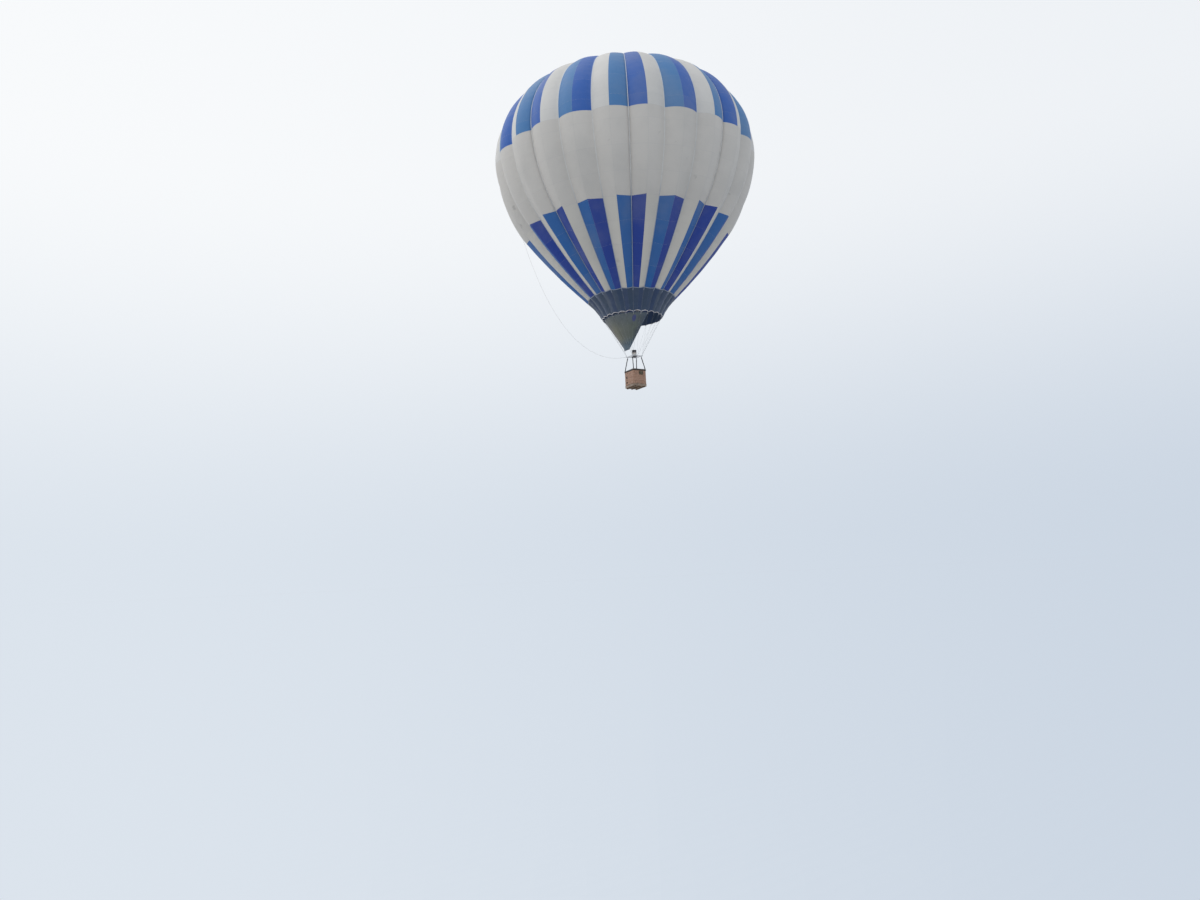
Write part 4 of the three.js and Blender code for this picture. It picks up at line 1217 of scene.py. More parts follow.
burnt.set("Roughness", heat * 0.25 + streak * 0.15 + 0.22)
burnt.bump(cloud + streak * 0.3, 0.0008)

can = Shop(BURNER_AXES)
BEADS, BEAD_DEPTH, BEAD_HALF = (0.105, 0.215, 0.330), 0.0018, 0.006
levels = [CAN_BOTTOM, 0.030, 0.040, SLOT_LOW, 0.070, SLOT_HIGH, *np.arange(0.096, 0.395, 0.0045), CAN_TOP]
columns = SLOTS * 6
rings = []
for z in levels:
    bead = BEAD_DEPTH * sum(math.exp(-(((z - level) / BEAD_HALF) ** 2)) for level in BEADS)
    radius = CAN_RADIUS - 0.001 + CAN_FLARE * (z - CAN_BOTTOM) / (CAN_TOP - CAN_BOTTOM) + bead
    turns = [2 * math.pi * i / columns for i in range(columns)]
    rings.append([can.mesh.verts.new((radius * math.cos(t), radius * math.sin(t), z)) for t in turns])
for (low, z_low), (high, z_high) in zip(zip(rings, levels), zip(rings[1:], levels[1:])):
    for i in range(columns):
        if SLOT_LOW <= z_low and z_high <= SLOT_HIGH and i % 6 in (1, 2):
            continue
        j = (i + 1) % columns
        can.mesh.faces.new((low[i], low[j], high[j], high[i]))
can.coat(can.mesh.faces, burnt.material)
can_sheet = can.piece("can_sheet", "burner", "can_steel", ("burner_can",), 180)
wall = can_sheet.modifiers.new("wall", "SOLIDIFY")
wall.thickness, wall.offset = CAN_WALL, -1

rolls = Shop(BURNER_AXES)
for radius, z in ((CAN_RADIUS + CAN_FLARE, CAN_TOP - 0.001), (CAN_RADIUS, CAN_BOTTOM + 0.001)):
    rolls.bend(hoop(z, radius - 0.001, 72), 0.0032, burnt.material, 8, closed=True)
for i in range(4):
    foot = turned(45 + 90 * i)
    rolls.box((0.004, 0.020, 0.046), foot @ moved(0.1375, 0, 0.026), blued, 0.001)
    rolls.turn(bar(0.005, 0.004, 0), stainless, foot @ moved(0.1395, 0, 0.040) @ ALONG_X, 6)
rolls.piece("can_rims", "burner", "can_steel")

# Coil and jets
# The vaporiser, a stainless pipe wound in five turns inside the can where the flame heats the fuel,
# and the brass jet ring it feeds, with the pilot light's cup in the middle.
COIL_TURNS, COIL_PITCH, COIL_BOTTOM, COIL_RADIUS, COIL_PIPE = 5, 0.056, 0.040, 0.115, 0.0088
JET_RADIUS, JET_BAR, JET_HEIGHT, JET_COUNT = 0.062, 0.009, 0.046, 18

wound, tree, given, finish_form = form(
    "wound_pipe",
    [
        ("Turns", "Float", COIL_TURNS),
        ("Radius", "Float", COIL_RADIUS),
        ("Height", "Float", COIL_PITCH * COIL_TURNS),
        ("Pipe", "Float", COIL_PIPE),
        ("Base", "Float", FRAME_Z + COIL_BOTTOM),
    ],
)
size = {"Start Radius": given["Radius"], "End Radius": given["Radius"], "Height": given["Height"]}
spiral = tree.add("GeometryNodeCurveSpiral", None, {"Resolution": 40, "Rotations": given["Turns"], **size})
section = tree.add("GeometryNodeCurvePrimitiveCircle", None, {"Resolution": 10, "Radius": given["Pipe"]})
sockets = {"Curve": spiral, "Profile Curve": section, "Fill Caps": True}
pipe = tree.add("GeometryNodeCurveToMesh", None, sockets)
raised = tree.add("GeometryNodeSetPosition", None, {"Geometry": pipe, "Offset": tree.point(z=given["Base"])})
finish_form(tree.realize(raised))
coil_pipe = made("coil_pipe", wound, material=burnt.material)
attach(coil_pipe, "burner")
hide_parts("burner_coil")

brass = metal("brass", (0.60, 0.42, 0.17), (0.26, 0.17, 0.07), 0.26, 70.0)
jets = Shop(BURNER_AXES)
jets.bend(hoop(JET_HEIGHT, JET_RADIUS, 48), JET_BAR, brass, 12, closed=True)
jets.turn([(0, 0.0125), (0.014, 0.0125), (0.014, 0.052), (0.011, 0.056), (0, 0.056)], brass, None, 6)
for azimuth in (0, 90):
    spoke = turned(azimuth) @ moved(-JET_RADIUS, 0, JET_HEIGHT) @ ALONG_X
    jets.turn(bar(0.0055, 0, 2 * JET_RADIUS), brass, spoke, 10)
nozzle = [(0.0052, 0), (0.0052, 0.005), (0.0032, 0.007), (0.0028, 0.013), (0.0012, 0.013), (0, 0.009)]
for i in range(JET_COUNT):
    place = turned(360 * i / JET_COUNT) @ moved(JET_RADIUS, 0, JET_HEIGHT + JET_BAR - 0.001)
    jets.turn(nozzle, brass, place, 6)
pilot_cup = [(0, 0.056), (0.019, 0.056), (0.022, 0.062), (0.022, 0.088), (0.020, 0.088), (0.018, 0.064)]
jets.turn([*pilot_cup, (0, 0.062)], blued, None, 18)
jets.piece("jets", "burner", "brass", ("jet_ring",))

# Valve block
# An anodised block under the hub with two blast levers and the pilot valve. Its two brass inlets
# take the fuel hoses, and a gauge faces the pilot.
BLOCK_X, BLOCK_Y, BLOCK_Z, BLOCK_TOP = 0.110, 0.064, 0.052, -0.0124
PILOT_X, PILOT_Y, PILOT_Z = 0.060, 0.040, 0.026
LEVER_ALONG, LEVER_TIP = 0.034, (-0.120, -0.096)
# Profiles: radius, and distance along the part
PILOT_KNOB = (
    (0, 0), (0.004, 0), (0.004, 0.010), (0.013, 0.010),
    (0.014, 0.013), (0.014, 0.021), (0.012, 0.024), (0, 0.024),
)
HOSE_TAIL = (
    (0.0085, 0.066), (0.0105, 0.068), (0.0085, 0.071), (0.0105, 0.074),
    (0.0085, 0.077), (0.0085, 0.081), (0, 0.081),
)

anodised = metal("anodised_block", (0.42, 0.43, 0.45), (0.24, 0.24, 0.25), 0.34, 90.0, metallic=0.85)


def plastic(name, colour, worn, roughness=0.42):
    """Moulded plastic or rubber, finely grained and rubbed paler where hands touch it."""
    made_of = Finish(name, {"Specular IOR Level": 0.45})
    spot = made_of.place()
    rubbed = made_of.noise(spot, 22.0, 4.0, 0.6).above(0.45, 0.70)
    made_of.set("Base Color", made_of.mix(rubbed * 0.5, colour, worn))
    made_of.set("Roughness", rubbed * -0.12 + roughness)
    made_of.bump(made_of.noise(spot, 900.0, 2.0), 0.00015)
    return made_of.material


red_grip = plastic("red_grip", (0.42, 0.022, 0.016), (0.30, 0.06, 0.05))
blue_grip = plastic("blue_grip", (0.020, 0.075, 0.30), (0.06, 0.11, 0.26))
black_rubber = plastic("black_rubber", (0.018, 0.018, 0.019), (0.05, 0.05, 0.05), 0.55)
dial = plastic("dial_face", (0.75, 0.75, 0.72), (0.66, 0.65, 0.60), 0.3)

block = Shop(BURNER_AXES)
middle = BLOCK_TOP - BLOCK_Z / 2
block.box((BLOCK_X, BLOCK_Y, BLOCK_Z), (0, 0, middle), anodised, 0.005)
block.box((PILOT_X, PILOT_Y, PILOT_Z), (0, 0, BLOCK_TOP - BLOCK_Z - PILOT_Z / 2 + 0.003), anodised, 0.004)
block.turn(PILOT_KNOB, black_rubber, moved(0, 0.018, middle - 0.039) @ ALONG_Y, 12)
for x, y in ((-0.044, -0.020), (-0.044, 0.020), (0.044, -0.020), (0.044, 0.020)):
    block.turn(bar(0.0055, 0, -0.004), stainless, moved(x, y, BLOCK_TOP - BLOCK_Z), 6)
for side, grip in ((-1, red_grip), (1, blue_grip)):
    x = side * LEVER_ALONG
    pivot, tip = Vector((x, 0, -0.060)), Vector((x, *LEVER_TIP))
    arm = (tip - pivot).normalized()
    block.turn(bar(0.011, -0.012, 0.012), stainless, moved(*pivot) @ ALONG_X, 14)
    block.bend([pivot, pivot + arm * 0.055], 0.0055, stainless, 10)
    handle = [pivot + arm * reach for reach in (0.045, 0.047, 0.060, 0.085, 0.110, 0.122, 0.125)]
    block.bend(handle, [0.0055, 0.0078, 0.0082, 0.0075, 0.0082, 0.0078, 0.0050], grip, 14)
    inlet = moved(0, 0, middle) @ turned(side * 90, "Y")
    block.turn([(0.013, 0.054), (0.013, 0.066), (0, 0.066)], brass, inlet, 6)
    block.turn(HOSE_TAIL, brass, inlet, 16)
gauge = moved(0, -BLOCK_Y / 2, middle + 0.004) @ turned(90, "X")
bezel = [(0.016, 0), (0.019, 0.002), (0.019, 0.012), (0.017, 0.013), (0.0165, 0.011)]
block.turn(bezel, stainless, gauge, 24)
block.turn([(0.0165, 0.011), (0, 0.011)], dial, gauge, 24)
for i in range(9):
    tick = gauge @ turned(-120 + 30 * i) @ moved(0, 0.0135, 0.0113)
    block.box((0.0009, 0.0034, 0.0004), tick, black_rubber, 0)
block.box((0.0012, 0.014, 0.0005), gauge @ turned(40) @ moved(0, 0.005, 0.0118), red_grip, 0)
block.piece("valve_block_parts", "burner", "brass", ("valve_block",))

# Wicker walls
# Kubu cane woven over upright stakes, each strand in front of one stake and behind the next. Two
# foot holes in the left wall, bound with hide, make a step for climbing in.
BASKET_HALF_X, BASKET_HALF_Y, BASKET_CORNER, WALL = 0.490, 0.560, 0.140, 0.024
WALL_BOTTOM, RIM_BOTTOM, RIM_TOP, RIM_WIDTH = 0.074, 1.030, 1.140, 0.062
STAKES, STAKE_RADIUS, STAKE_POINTS, INTO_RIM = 64, 0.0046, 3, 0.012
STRAND, STRAND_TALL, STRAND_SWAY, STRAND_PITCH = 0.0046, 1.5, 0.0052, 0.0097
WEAVE_HALF = STRAND + STRAND_SWAY
STRANDS = int((RIM_BOTTOM + INTO_RIM - WALL_BOTTOM) / STRAND_PITCH)
FOOT_HOLE_WIDTH, FOOT_HOLE_HEIGHT, FOOT_HOLE_ALONG = 0.110, 0.085, 0.250
FOOT_HOLE_LEVELS = (0.360, 0.700)
BASKET_FOOT = -13.84
BASKET_AXES = moved(0, 0, BASKET_FOOT) @ BASKET_TURN.to_4x4()


def rounded(half_x, half_y, corner, steps):
    """The outline of a rectangle with round corners, anticlockwise."""
    outline = []
    for turn, (x, y) in enumerate(((1, 1), (-1, 1), (-1, -1), (1, -1))):
        for step in range(steps + 1):
            angle = math.pi / 2 * (turn + step / steps)
            middle_x, middle_y = x * (half_x - corner), y * (half_y - corner)
            outline.append((middle_x + corner * math.cos(angle), middle_y + corner * math.sin(angle)))
    return outline


def basket_plan(margin, count):
    """Evenly spaced points round the basket's plan, grown outwards by a margin, anticlockwise."""
    outline = rounded(BASKET_HALF_X + margin, BASKET_HALF_Y + margin, BASKET_CORNER + margin, 12)
    outline = np.array([*outline, outline[0]])
    runs = np.concatenate(([0], np.cumsum(np.hypot(*np.diff(outline, axis=0).T))))
    places = np.linspace(0, runs[-1], count, endpoint=False)
    return list(zip(*(np.interp(places, runs, side) for side in outline.T)))


def by_foot_hole(x, y):
    """Whether a place in the walls is in line with the foot holes."""
    return abs(y - FOOT_HOLE_ALONG) < FOOT_HOLE_WIDTH / 2 and x < -BASKET_HALF_X + 2 * WALL


woven, tree, given, finish_form = form(
    "woven_round",
    [
        ("Guide", "Object", None),
        ("Rows", "Int", STRANDS),
        ("Base", "Float", WALL_BOTTOM + STRAND),
        ("Pitch", "Float", STRAND_PITCH),
        ("Sway", "Float", STRAND_SWAY),
        ("Climb", "Float", 0.0),
        ("Strand", "Float", STRAND),
        ("Tall", "Float", STRAND_TALL),
        ("Sides", "Int", 5),
        ("Unevenness", "Float", 0.0022),
    ],
)
guide = tree.add("GeometryNodeObjectInfo", None, {"Object": given["Guide"]}).outputs["Geometry"]
index = tree.number(tree.add("GeometryNodeInputIndex"))
outwards = tree.vector("CROSS_PRODUCT", tree.add("GeometryNodeInputTangent"), (0, 0, 1))
phases = []
for sign in (1, -1):
    wave = (index * (math.pi / STAKE_POINTS)).cosine() * sign
    sideways, climb = tree.scaled(outwards, wave * given["Sway"]), tree.point(z=wave * given["Climb"])
    sockets = {"Geometry": guide, "Offset": tree.vector("ADD", sideways, climb)}
    bent = tree.add("GeometryNodeSetPosition", None, sockets)
    phases.append(tree.add("GeometryNodeGeometryToInstance", None, {0: bent}).outputs[0])
pair = tree.add("GeometryNodeJoinGeometry")
for phase in reversed(phases):
    tree.tree.links.new(phase, pair.inputs[0])
levels = {"Start Location": tree.point(z=given["Base"]), "Offset": tree.point(z=given["Pitch"])}
rows = tree.add("GeometryNodeMeshLine", None, {"Count": given["Rows"], **levels})
sockets = {"Points": rows, "Instance": pair, "Pick Instance": True, "Instance Index": index % 2.0}
stacked = tree.add("GeometryNodeInstanceOnPoints", None, sockets)
real = tree.realize(tree.store(stacked, "row", "FLOAT", "INSTANCE", index))
sockets = {"Vector": tree.add("GeometryNodeInputPosition"), "Scale": 9.0, "Detail": 1.0}
drift = tree.add("ShaderNodeTexNoise", None, sockets).outputs["Color"]
drift = tree.scaled(tree.vector("SUBTRACT", drift, (0.5, 0.5, 0.5)), given["Unevenness"])
uneven = tree.add("GeometryNodeSetPosition", None, {"Geometry": real, "Offset": drift})
size = {"Resolution": given["Sides"], "Radius": given["Strand"]}
section = tree.add("GeometryNodeCurvePrimitiveCircle", None, size)
oval = {"Geometry": section, "Scale": tree.point(1.0, given["Tall"], 1.0)}
section = tree.add("GeometryNodeTransform", None, oval)
level = tree.add("GeometryNodeSetCurveNormal", {"mode": "Z_UP"}, {"Curve": uneven})
finish_form(tree.add("GeometryNodeCurveToMesh", None, {"Curve": level, "Profile Curve": section}))


def round_basket(name, margin, count, **values):
    """Strands or lacing round the basket, in the balloon's axes."""
    points = [(x, y, 0) for x, y in basket_plan(margin, count)]
    guide = guide_object(f"{name}_guide", points)
    guide.data.splines[0].use_cyclic_u = True
    piece = made(name, woven, guide=guide, **values)
    piece.data.transform(BASKET_AXES)
    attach(piece, "envelope_and_basket")
    return piece


CANE = ((0.530, 0.335, 0.240), (0.385, 0.222, 0.155), (0.630, 0.455, 0.350))
wicker = Finish("woven_cane", {"Specular IOR Level": 0.4, "Coat Weight": 0.12, "Coat Roughness": 0.35})
spot = wicker.place()
row = wicker.number(wicker.add("ShaderNodeAttribute", {"attribute_name": "row"}).outputs["Fac"])
x, y, z = wicker.split(spot)
tone = wicker.noise(wicker.point(x * 1.2, y * 1.2, row * 3.7), 1.3, 2.0)
colour = wicker.mix(tone.above(0.38, 0.62), CANE[1], CANE[0])
colour = wicker.mix(tone.above(0.60, 0.72) * 0.7, colour, CANE[2])
fibre = wicker.add("ShaderNodeMapping", None, {"Vector": spot, "Scale": (25, 25, 600)})
fibres = wicker.noise(fibre, 1.0, 3.0, 0.7)
colour = wicker.mix(fibres.above(0.45, 0.75) * 0.30, colour, (0.20, 0.11, 0.065))
grime = (1 - (z - BASKET_FOOT).above(0.05, 0.42)) * wicker.noise(spot, 5.0, 4.0, 0.6).above(0.38, 0.7)
colour = wicker.mix(grime * 0.6, colour, (0.07, 0.055, 0.042))
wicker.set("Base Color", colour)
wicker.set("Roughness", fibres * 0.25 + 0.42)
wicker.bump(fibres, 0.0006)

walls = round_basket("woven_walls", -WEAVE_HALF, STAKES * STAKE_POINTS, material=wicker.material)
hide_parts("basket_walls")

# The strands end at the foot holes, where their cut ends are closed
cane = bmesh.new()
cane.from_mesh(walls.data)
cane.transform(BASKET_AXES.inverted())
through = []
for face in cane.faces:
    x, y, z = face.calc_center_median()
    if by_foot_hole(x, y) and any(abs(z - level) < FOOT_HOLE_HEIGHT / 2 for level in FOOT_HOLE_LEVELS):
        through.append(face)
bmesh.ops.delete(cane, geom=through, context="FACES")
bmesh.ops.holes_fill(cane, edges=[edge for edge in cane.edges if edge.is_boundary], sides=24)
cane.transform(BASKET_AXES)
cane.to_mesh(walls.data)
cane.free()

stakes = Shop(BASKET_AXES)
for x, y in basket_plan(-WEAVE_HALF, STAKES):
    edges = [level + side * FOOT_HOLE_HEIGHT / 2 for level in FOOT_HOLE_LEVELS for side in (-1, 1)]
    ends = [WALL_BOTTOM, *(edges if by_foot_hole(x, y) else ()), RIM_BOTTOM]
    for low, high in zip(ends[::2], ends[1::2]):
        stakes.turn(bar(STAKE_RADIUS, low, high), wicker.material, moved(x, y), 6)
stakes.piece("wicker_stakes", "envelope_and_basket", "wicker")

# Hide trim
# Thick dark cowhide: a padded roll laced over the top of the walls, and bindings in the foot holes.
# The band round the walls' foot is pale suede, worn and soiled by the ground.
BOTTOM_EDGE_OUT, BOTTOM_EDGE_TOP = 0.009, 0.190
RIM_RINGS, RIM_SECTION = 480, 32
CLOTH_FRAMES = 20
HIDE_DARK, HIDE_BROWN, HIDE_SCUFFED = (0.022, 0.017, 0.014), (0.050, 0.034, 0.024), (0.135, 0.10, 0.075)


def leather(name, dark, brown, scuffed):
    """Hide with a pebbled grain, creases, and scuffs that are paler and rougher."""
    skin = Finish(name, {"Specular IOR Level": 0.45})
    spot = skin.place()
    cells = skin.add("ShaderNodeTexVoronoi", {"feature": "F1"}, {"Vector": spot, "Scale": 260.0})
    pebbles = skin.number(cells.outputs["Distance"])
    crease = skin.noise(spot, 28.0, 5.0, 0.62)
    mottle = skin.noise(spot, 6.0, 4.0, 0.6)
    colour = skin.mix(mottle.above(0.35, 0.70), dark, brown)
    scuff = skin.noise(spot, 17.0, 5.0, 0.7).above(0.56, 0.72)
    colour = skin.mix(scuff * 0.65, colour, scuffed)
    skin.set("Base Color", colour)
    skin.set("Roughness", scuff * 0.22 + mottle * 0.18 + 0.38)
    skin.bump(pebbles * -0.5 + crease * 1.4, 0.0016)
    return skin.material


def blown_up(mesh, held, pressure, slack, reach, voxel=None):
    """A sewn cover after a cloth simulation blows it up. held tells where it stays in place, slack
    is its share of spare cloth, and reach is about how far a point may move."""
    cover = bpy.data.objects.new("cover", mesh)
    scene.collection.objects.link(cover)
    if voxel:
        even = cover.modifiers.new("even", "REMESH")
        even.mode, even.voxel_size = "VOXEL", voxel
        whole = cover.evaluated_get(bpy.context.evaluated_depsgraph_get())
        mesh = bpy.data.meshes.new_from_object(whole)
        cover.modifiers.clear()
        cover.data = mesh
    pins = cover.vertex_groups.new(name="held")
    pins.add([point.index for point in mesh.vertices if held(point.co)], 1.0, "REPLACE")
    cloth = cover.modifiers.new("cloth", "CLOTH")
    cloth.settings.vertex_group_mass = "held"
    cloth.settings.use_pressure = True
    cloth.settings.uniform_pressure_force = pressure
    cloth.settings.effector_weights.gravity = 0
    cloth.settings.shrink_min = -slack
    cloth.point_cache.frame_start, cloth.point_cache.frame_end = 1, CLOTH_FRAMES
    for moment in range(1, CLOTH_FRAMES + 1):
        scene.frame_set(moment)
    blown = cover.evaluated_get(bpy.context.evaluated_depsgraph_get()).data
    moves = [after.co - before.co for before, after in zip(mesh.vertices, blown.vertices)]
    for point, move in zip(mesh.vertices, moves):
        point.co += move * (math.tanh(move.length / reach) * reach / max(move.length, 1e-9))
    cover.vertex_groups.clear()
    bpy.data.objects.remove(cover)
    scene.frame_set(1)
    return mesh


hide = leather("dark_hide", HIDE_DARK, HIDE_BROWN, HIDE_SCUFFED)
lace = Finish("rawhide_lace", {"Specular IOR Level": 0.35})
lace_tone = lace.noise(lace.place(), 40.0, 3.0)
lace.set("Base Color", lace.mix(lace_tone, (0.10, 0.07, 0.045), (0.21, 0.16, 0.11)))
lace.set("Roughness", lace_tone * 0.2 + 0.55)
lace.bump(lace_tone, 0.0005)


def squarer(value, power):
    """A sine or cosine made squarer by a power below 1."""
    return math.copysign(abs(value) ** power, value)


roll = Shop(BASKET_AXES)
outline = basket_plan(-WALL / 2, RIM_RINGS)
rings = []
for i, (x, y) in enumerate(outline):
    before, after = outline[i - 1], outline[(i + 1) % RIM_RINGS]
    out = Vector((after[1] - before[1], before[0] - after[0], 0)).normalized()
    corner = abs(out.x * out.y) * 2
    ring = []
    for k in range(RIM_SECTION):
        turn = 2 * math.pi * k / RIM_SECTION
        side, rise = squarer(math.cos(turn), 0.8), squarer(math.sin(turn), 0.8)
        point = Vector((x, y, (RIM_BOTTOM + RIM_TOP) / 2))
        laced = 0.5 + 0.5 * math.cos(2 * math.pi * i / 4)
        pinch = 1 - 0.05 * laced * (rise < -0.6) - 0.02 * corner * (side < 0)
        lump = noise.noise(Vector((x * 14, y * 14, k * 0.7))) * 0.0022
        reach = RIM_WIDTH / 2 * side * pinch + lump * side
        high = (RIM_TOP - RIM_BOTTOM) / 2 * rise + lump * rise
        ring.append(roll.mesh.verts.new(point + out * reach + UP * high))
    rings.append(ring)
for low, high in zip(rings, [*rings[1:], rings[0]]):
    for k in range(RIM_SECTION):
        m = (k + 1) % RIM_SECTION
        roll.mesh.faces.new((low[k], high[k], high[m], low[m]))
bmesh.ops.recalc_face_normals(roll.mesh, faces=roll.mesh.faces)
roll.coat(roll.mesh.faces, hide)


def laced_down(point):
    """Whether a point of the roll lies on the wall, under the lacing."""
    return point.z < RIM_BOTTOM + INTO_RIM


cover = {"held": laced_down, "pressure": 3.0, "slack": 0.03, "reach": 0.004}
rim_roll = roll.piece("rim_roll", "envelope_and_basket", "hide", ("padded_rim",), 180, cover)

LACING = {"rows": 1, "sway": 0.0, "strand": 0.0022, "tall": 1.0, "material": lace.material}
LACINGS = (
    # name, margin, points, base, climb
    ("rim_lacing_outside", 0.0030, 720, RIM_BOTTOM + 0.006, 0.013),
    ("rim_lacing_inside", -2 * WEAVE_HALF - 0.0030, 720, RIM_BOTTOM + 0.006, 0.013),
    ("edge_lacing", BOTTOM_EDGE_OUT + 0.0012, 600, BOTTOM_EDGE_TOP - 0.014, 0.010),
)
for name, margin, points, base, climb in LACINGS:
    round_basket(name, margin, points, base=base, climb=climb, **LACING)


def dress(name, material):
    """Gives a piece of the frame its material."""
    for slot in nodes[name].material_slots:
        slot.material = material


dress("bottom_edge", leather("pale_suede", (0.20, 0.142, 0.104), (0.315, 0.238, 0.182), (0.41, 0.335, 0.275)))

bindings = Shop(BASKET_AXES)
for level in FOOT_HOLE_LEVELS:
    round_hole = rounded(FOOT_HOLE_WIDTH / 2 + 0.004, FOOT_HOLE_HEIGHT / 2 + 0.004, 0.022, 5)
    path = [(-BASKET_HALF_X + WALL / 2, FOOT_HOLE_ALONG + y, level + z) for y, z in round_hole]
    bindings.bend(path, 0.0135, hide, 12, closed=True)
bindings.piece("foot_hole_bindings", "envelope_and_basket", "hide")

# Floor and runners
# A marine plywood floor on three hardwood runners, grey with wear at the bottom. Its grain runs
# along the basket.
SKIDS = (-0.330, 0, 0.330)


def timber(name, pale, dark, worn, rings):
    """Wood with its grain along the basket's length, plies or rings, and grey worn faces."""
    wood = Finish(name, {"Specular IOR Level": 0.35})
    sockets = {"Vector": wood.place(), "Rotation": (0, 0, math.radians(-30))}
    in_line = wood.add("ShaderNodeMapping", None, sockets)
    x, y, z = wood.split(in_line)
    warp = wood.noise(in_line, 3.0, 4.0, 0.6)
    lines = wood.noise(wood.point(x * rings, y * 2.2, z * rings), 1.0, 5.0, 0.7)
    colour = wood.mix((lines + warp * 0.6).above(0.55, 1.05), pale, dark)
    grey = wood.noise(in_line, 7.0, 5.0, 0.65).above(0.45, 0.68)
    colour = wood.mix(grey * 0.6, colour, worn)
    wood.set("Base Color", colour)
    wood.set("Roughness", grey * 0.2 + 0.5)
    wood.bump(lines, 0.0010)
    return wood.material


dress("floor_board", timber("plywood", (0.33, 0.21, 0.11), (0.16, 0.09, 0.045), (0.16, 0.14, 0.12), 60))
hardwood = timber("hardwood", (0.20, 0.12, 0.065), (0.09, 0.05, 0.028), (0.13, 0.115, 0.10), 90)
for i in range(len(SKIDS)):
    dress(f"skid_{i + 1}", hardwood)

# Coach bolts that hold the runners
bolts = Shop(BASKET_AXES)
head = [(0, -0.0022), (0.006, -0.0016), (0.0095, 0.0004), (0.0095, 0.003), (0, 0.003)]
for skid in SKIDS:
    for along in np.linspace(-0.44, 0.44, 5):
        bolts.turn(head, stainless, moved(skid, along), 12)
bolts.piece("coach_bolts", "envelope_and_basket", "plywood")

# Uprights
# Nylon rods that stand in the rim's corners and hold the burner frame up. Each wears a padded
# sleeve of black cloth with a zip and three straps.
UPRIGHT_RADIUS, FOOT_X, FOOT_Y = 0.028, 0.432, 0.502
UPRIGHT_FOOT, UPRIGHT_HEAD = 1.148, 1.952
STRAP_SHARES, STRAP_HALF, STRAP_INNER, STRAP_OUTER = (0.10, 0.50, 0.90), 0.012, 0.0240, 0.0280
ROD_RADIUS, SLEEVE_BORE, ZIP_REACH, ZIP_ROUND = 0.015, 0.0155, 0.0268, 51.566

nylon_rod = plastic("nylon_rod", (0.62, 0.60, 0.55), (0.48, 0.46, 0.42), 0.35)


def canvas(name, colour, faded, thread=0.0011):
    """A close plain weave, faded in patches, with a soft sheen."""
    cloth = Finish(name, {"Sheen Weight": 0.3, "Sheen Roughness": 0.5, "Specular IOR Level": 0.25})
    spot = cloth.place()
    patches = cloth.noise(spot, 9.0, 4.0, 0.6).above(0.38, 0.70)
    cloth.set("Base Color", cloth.mix(patches * 0.6, colour, faded))
    cloth.set("Roughness", patches * 0.1 + 0.75)
    x, y, z = cloth.split(spot)
    waves = [(run * (2 * math.pi / thread)).sine() for run in (x + y, x - y, z)]
    relief = cloth.bump(cloth.noise(spot, 30.0, 4.0, 0.6), 0.004)
    cloth.bump(waves[0] * waves[2] + waves[1] * waves[2], 0.0001, relief)
    return cloth.material


black_canvas = canvas("black_canvas", (0.016, 0.016, 0.018), (0.045, 0.045, 0.050))
black_webbing = canvas("black_webbing", (0.022, 0.022, 0.024), (0.06, 0.06, 0.065), 0.002)
for name, x, y, _ in CORNERS:
    foot = Vector((x * FOOT_X, y * FOOT_Y, UPRIGHT_FOOT))
    head = Vector((x * FRAME_HALF_X, y * FRAME_HALF_Y, UPRIGHT_HEAD))
    along = (head - foot).normalized()
    lean = moved(*foot) @ UP.rotation_difference(along).to_matrix().to_4x4()
    inwards = math.degrees(math.atan2(-y, -x))
    tall = (head - foot).length
    sleeve = Shop(BASKET_AXES)
    profile = [(SLEEVE_BORE, 0.0)]
    for share in np.linspace(0, 1, 151):
        pinch = sum(math.exp(-(((share - strap) * tall / 0.020) ** 2)) for strap in STRAP_SHARES)
        end = min(share, 1 - share) * tall
        radius = UPRIGHT_RADIUS * (0.72 + 0.25 * min(1, end / 0.020) ** 0.5) - 0.0016 * pinch
        radius += 0.0008 * math.sin(share * 71 + x + 2 * y) - 0.0004
        profile.append((radius, share * tall))
    profile += [(SLEEVE_BORE, tall), (SLEEVE_BORE, 0.0)]
    sleeve.turn(profile, black_canvas, lean, 32)
    zip_turn = turned(inwards + ZIP_ROUND)
    zip_line = (zip_turn @ Vector((ZIP_REACH, 0, 0))).xy

    def sewn_down(point):
        """Whether a point of the sleeve lies on the rod, under a strap or beside the zip."""
        at = lean.inverted() @ point
        strapped = any(abs(at.z - share * tall) < STRAP_HALF for share in STRAP_SHARES)
        return at.xy.length < 0.018 or strapped or (at.xy - zip_line).length < 0.006

    cover = {"held": sewn_down, "pressure": 2.5, "slack": 0.09, "reach": 0.0045}
    stands_for = (f"upright_{name}",)
    padded_sleeve = sleeve.piece(f"sleeve_{name}", "envelope_and_basket", "sleeve", stands_for, 60, cover)

    fittings = Shop(BASKET_AXES)
    fittings.turn(bar(ROD_RADIUS, -0.06, tall + 0.03), nylon_rod, lean, 14)
    for share in STRAP_SHARES:
        level = share * tall
        ring = bar(STRAP_OUTER, level - STRAP_HALF, level + STRAP_HALF, 0, STRAP_INNER)
        fittings.turn(ring, black_webbing, lean, 20)
        buckle = lean @ turned(inwards) @ moved(STRAP_OUTER + 0.0005, 0, level)
        fittings.box((0.004, 0.022, 0.030), buckle, black_rubber, 0.0012)
    zip_place = lean @ zip_turn @ moved(ZIP_REACH, 0, tall / 2)
    fittings.box((0.0022, 0.0055, tall * 0.93), zip_place, black_rubber, 0.0006)
    fittings.piece(f"upright_fittings_{name}", "envelope_and_basket", "sleeve")

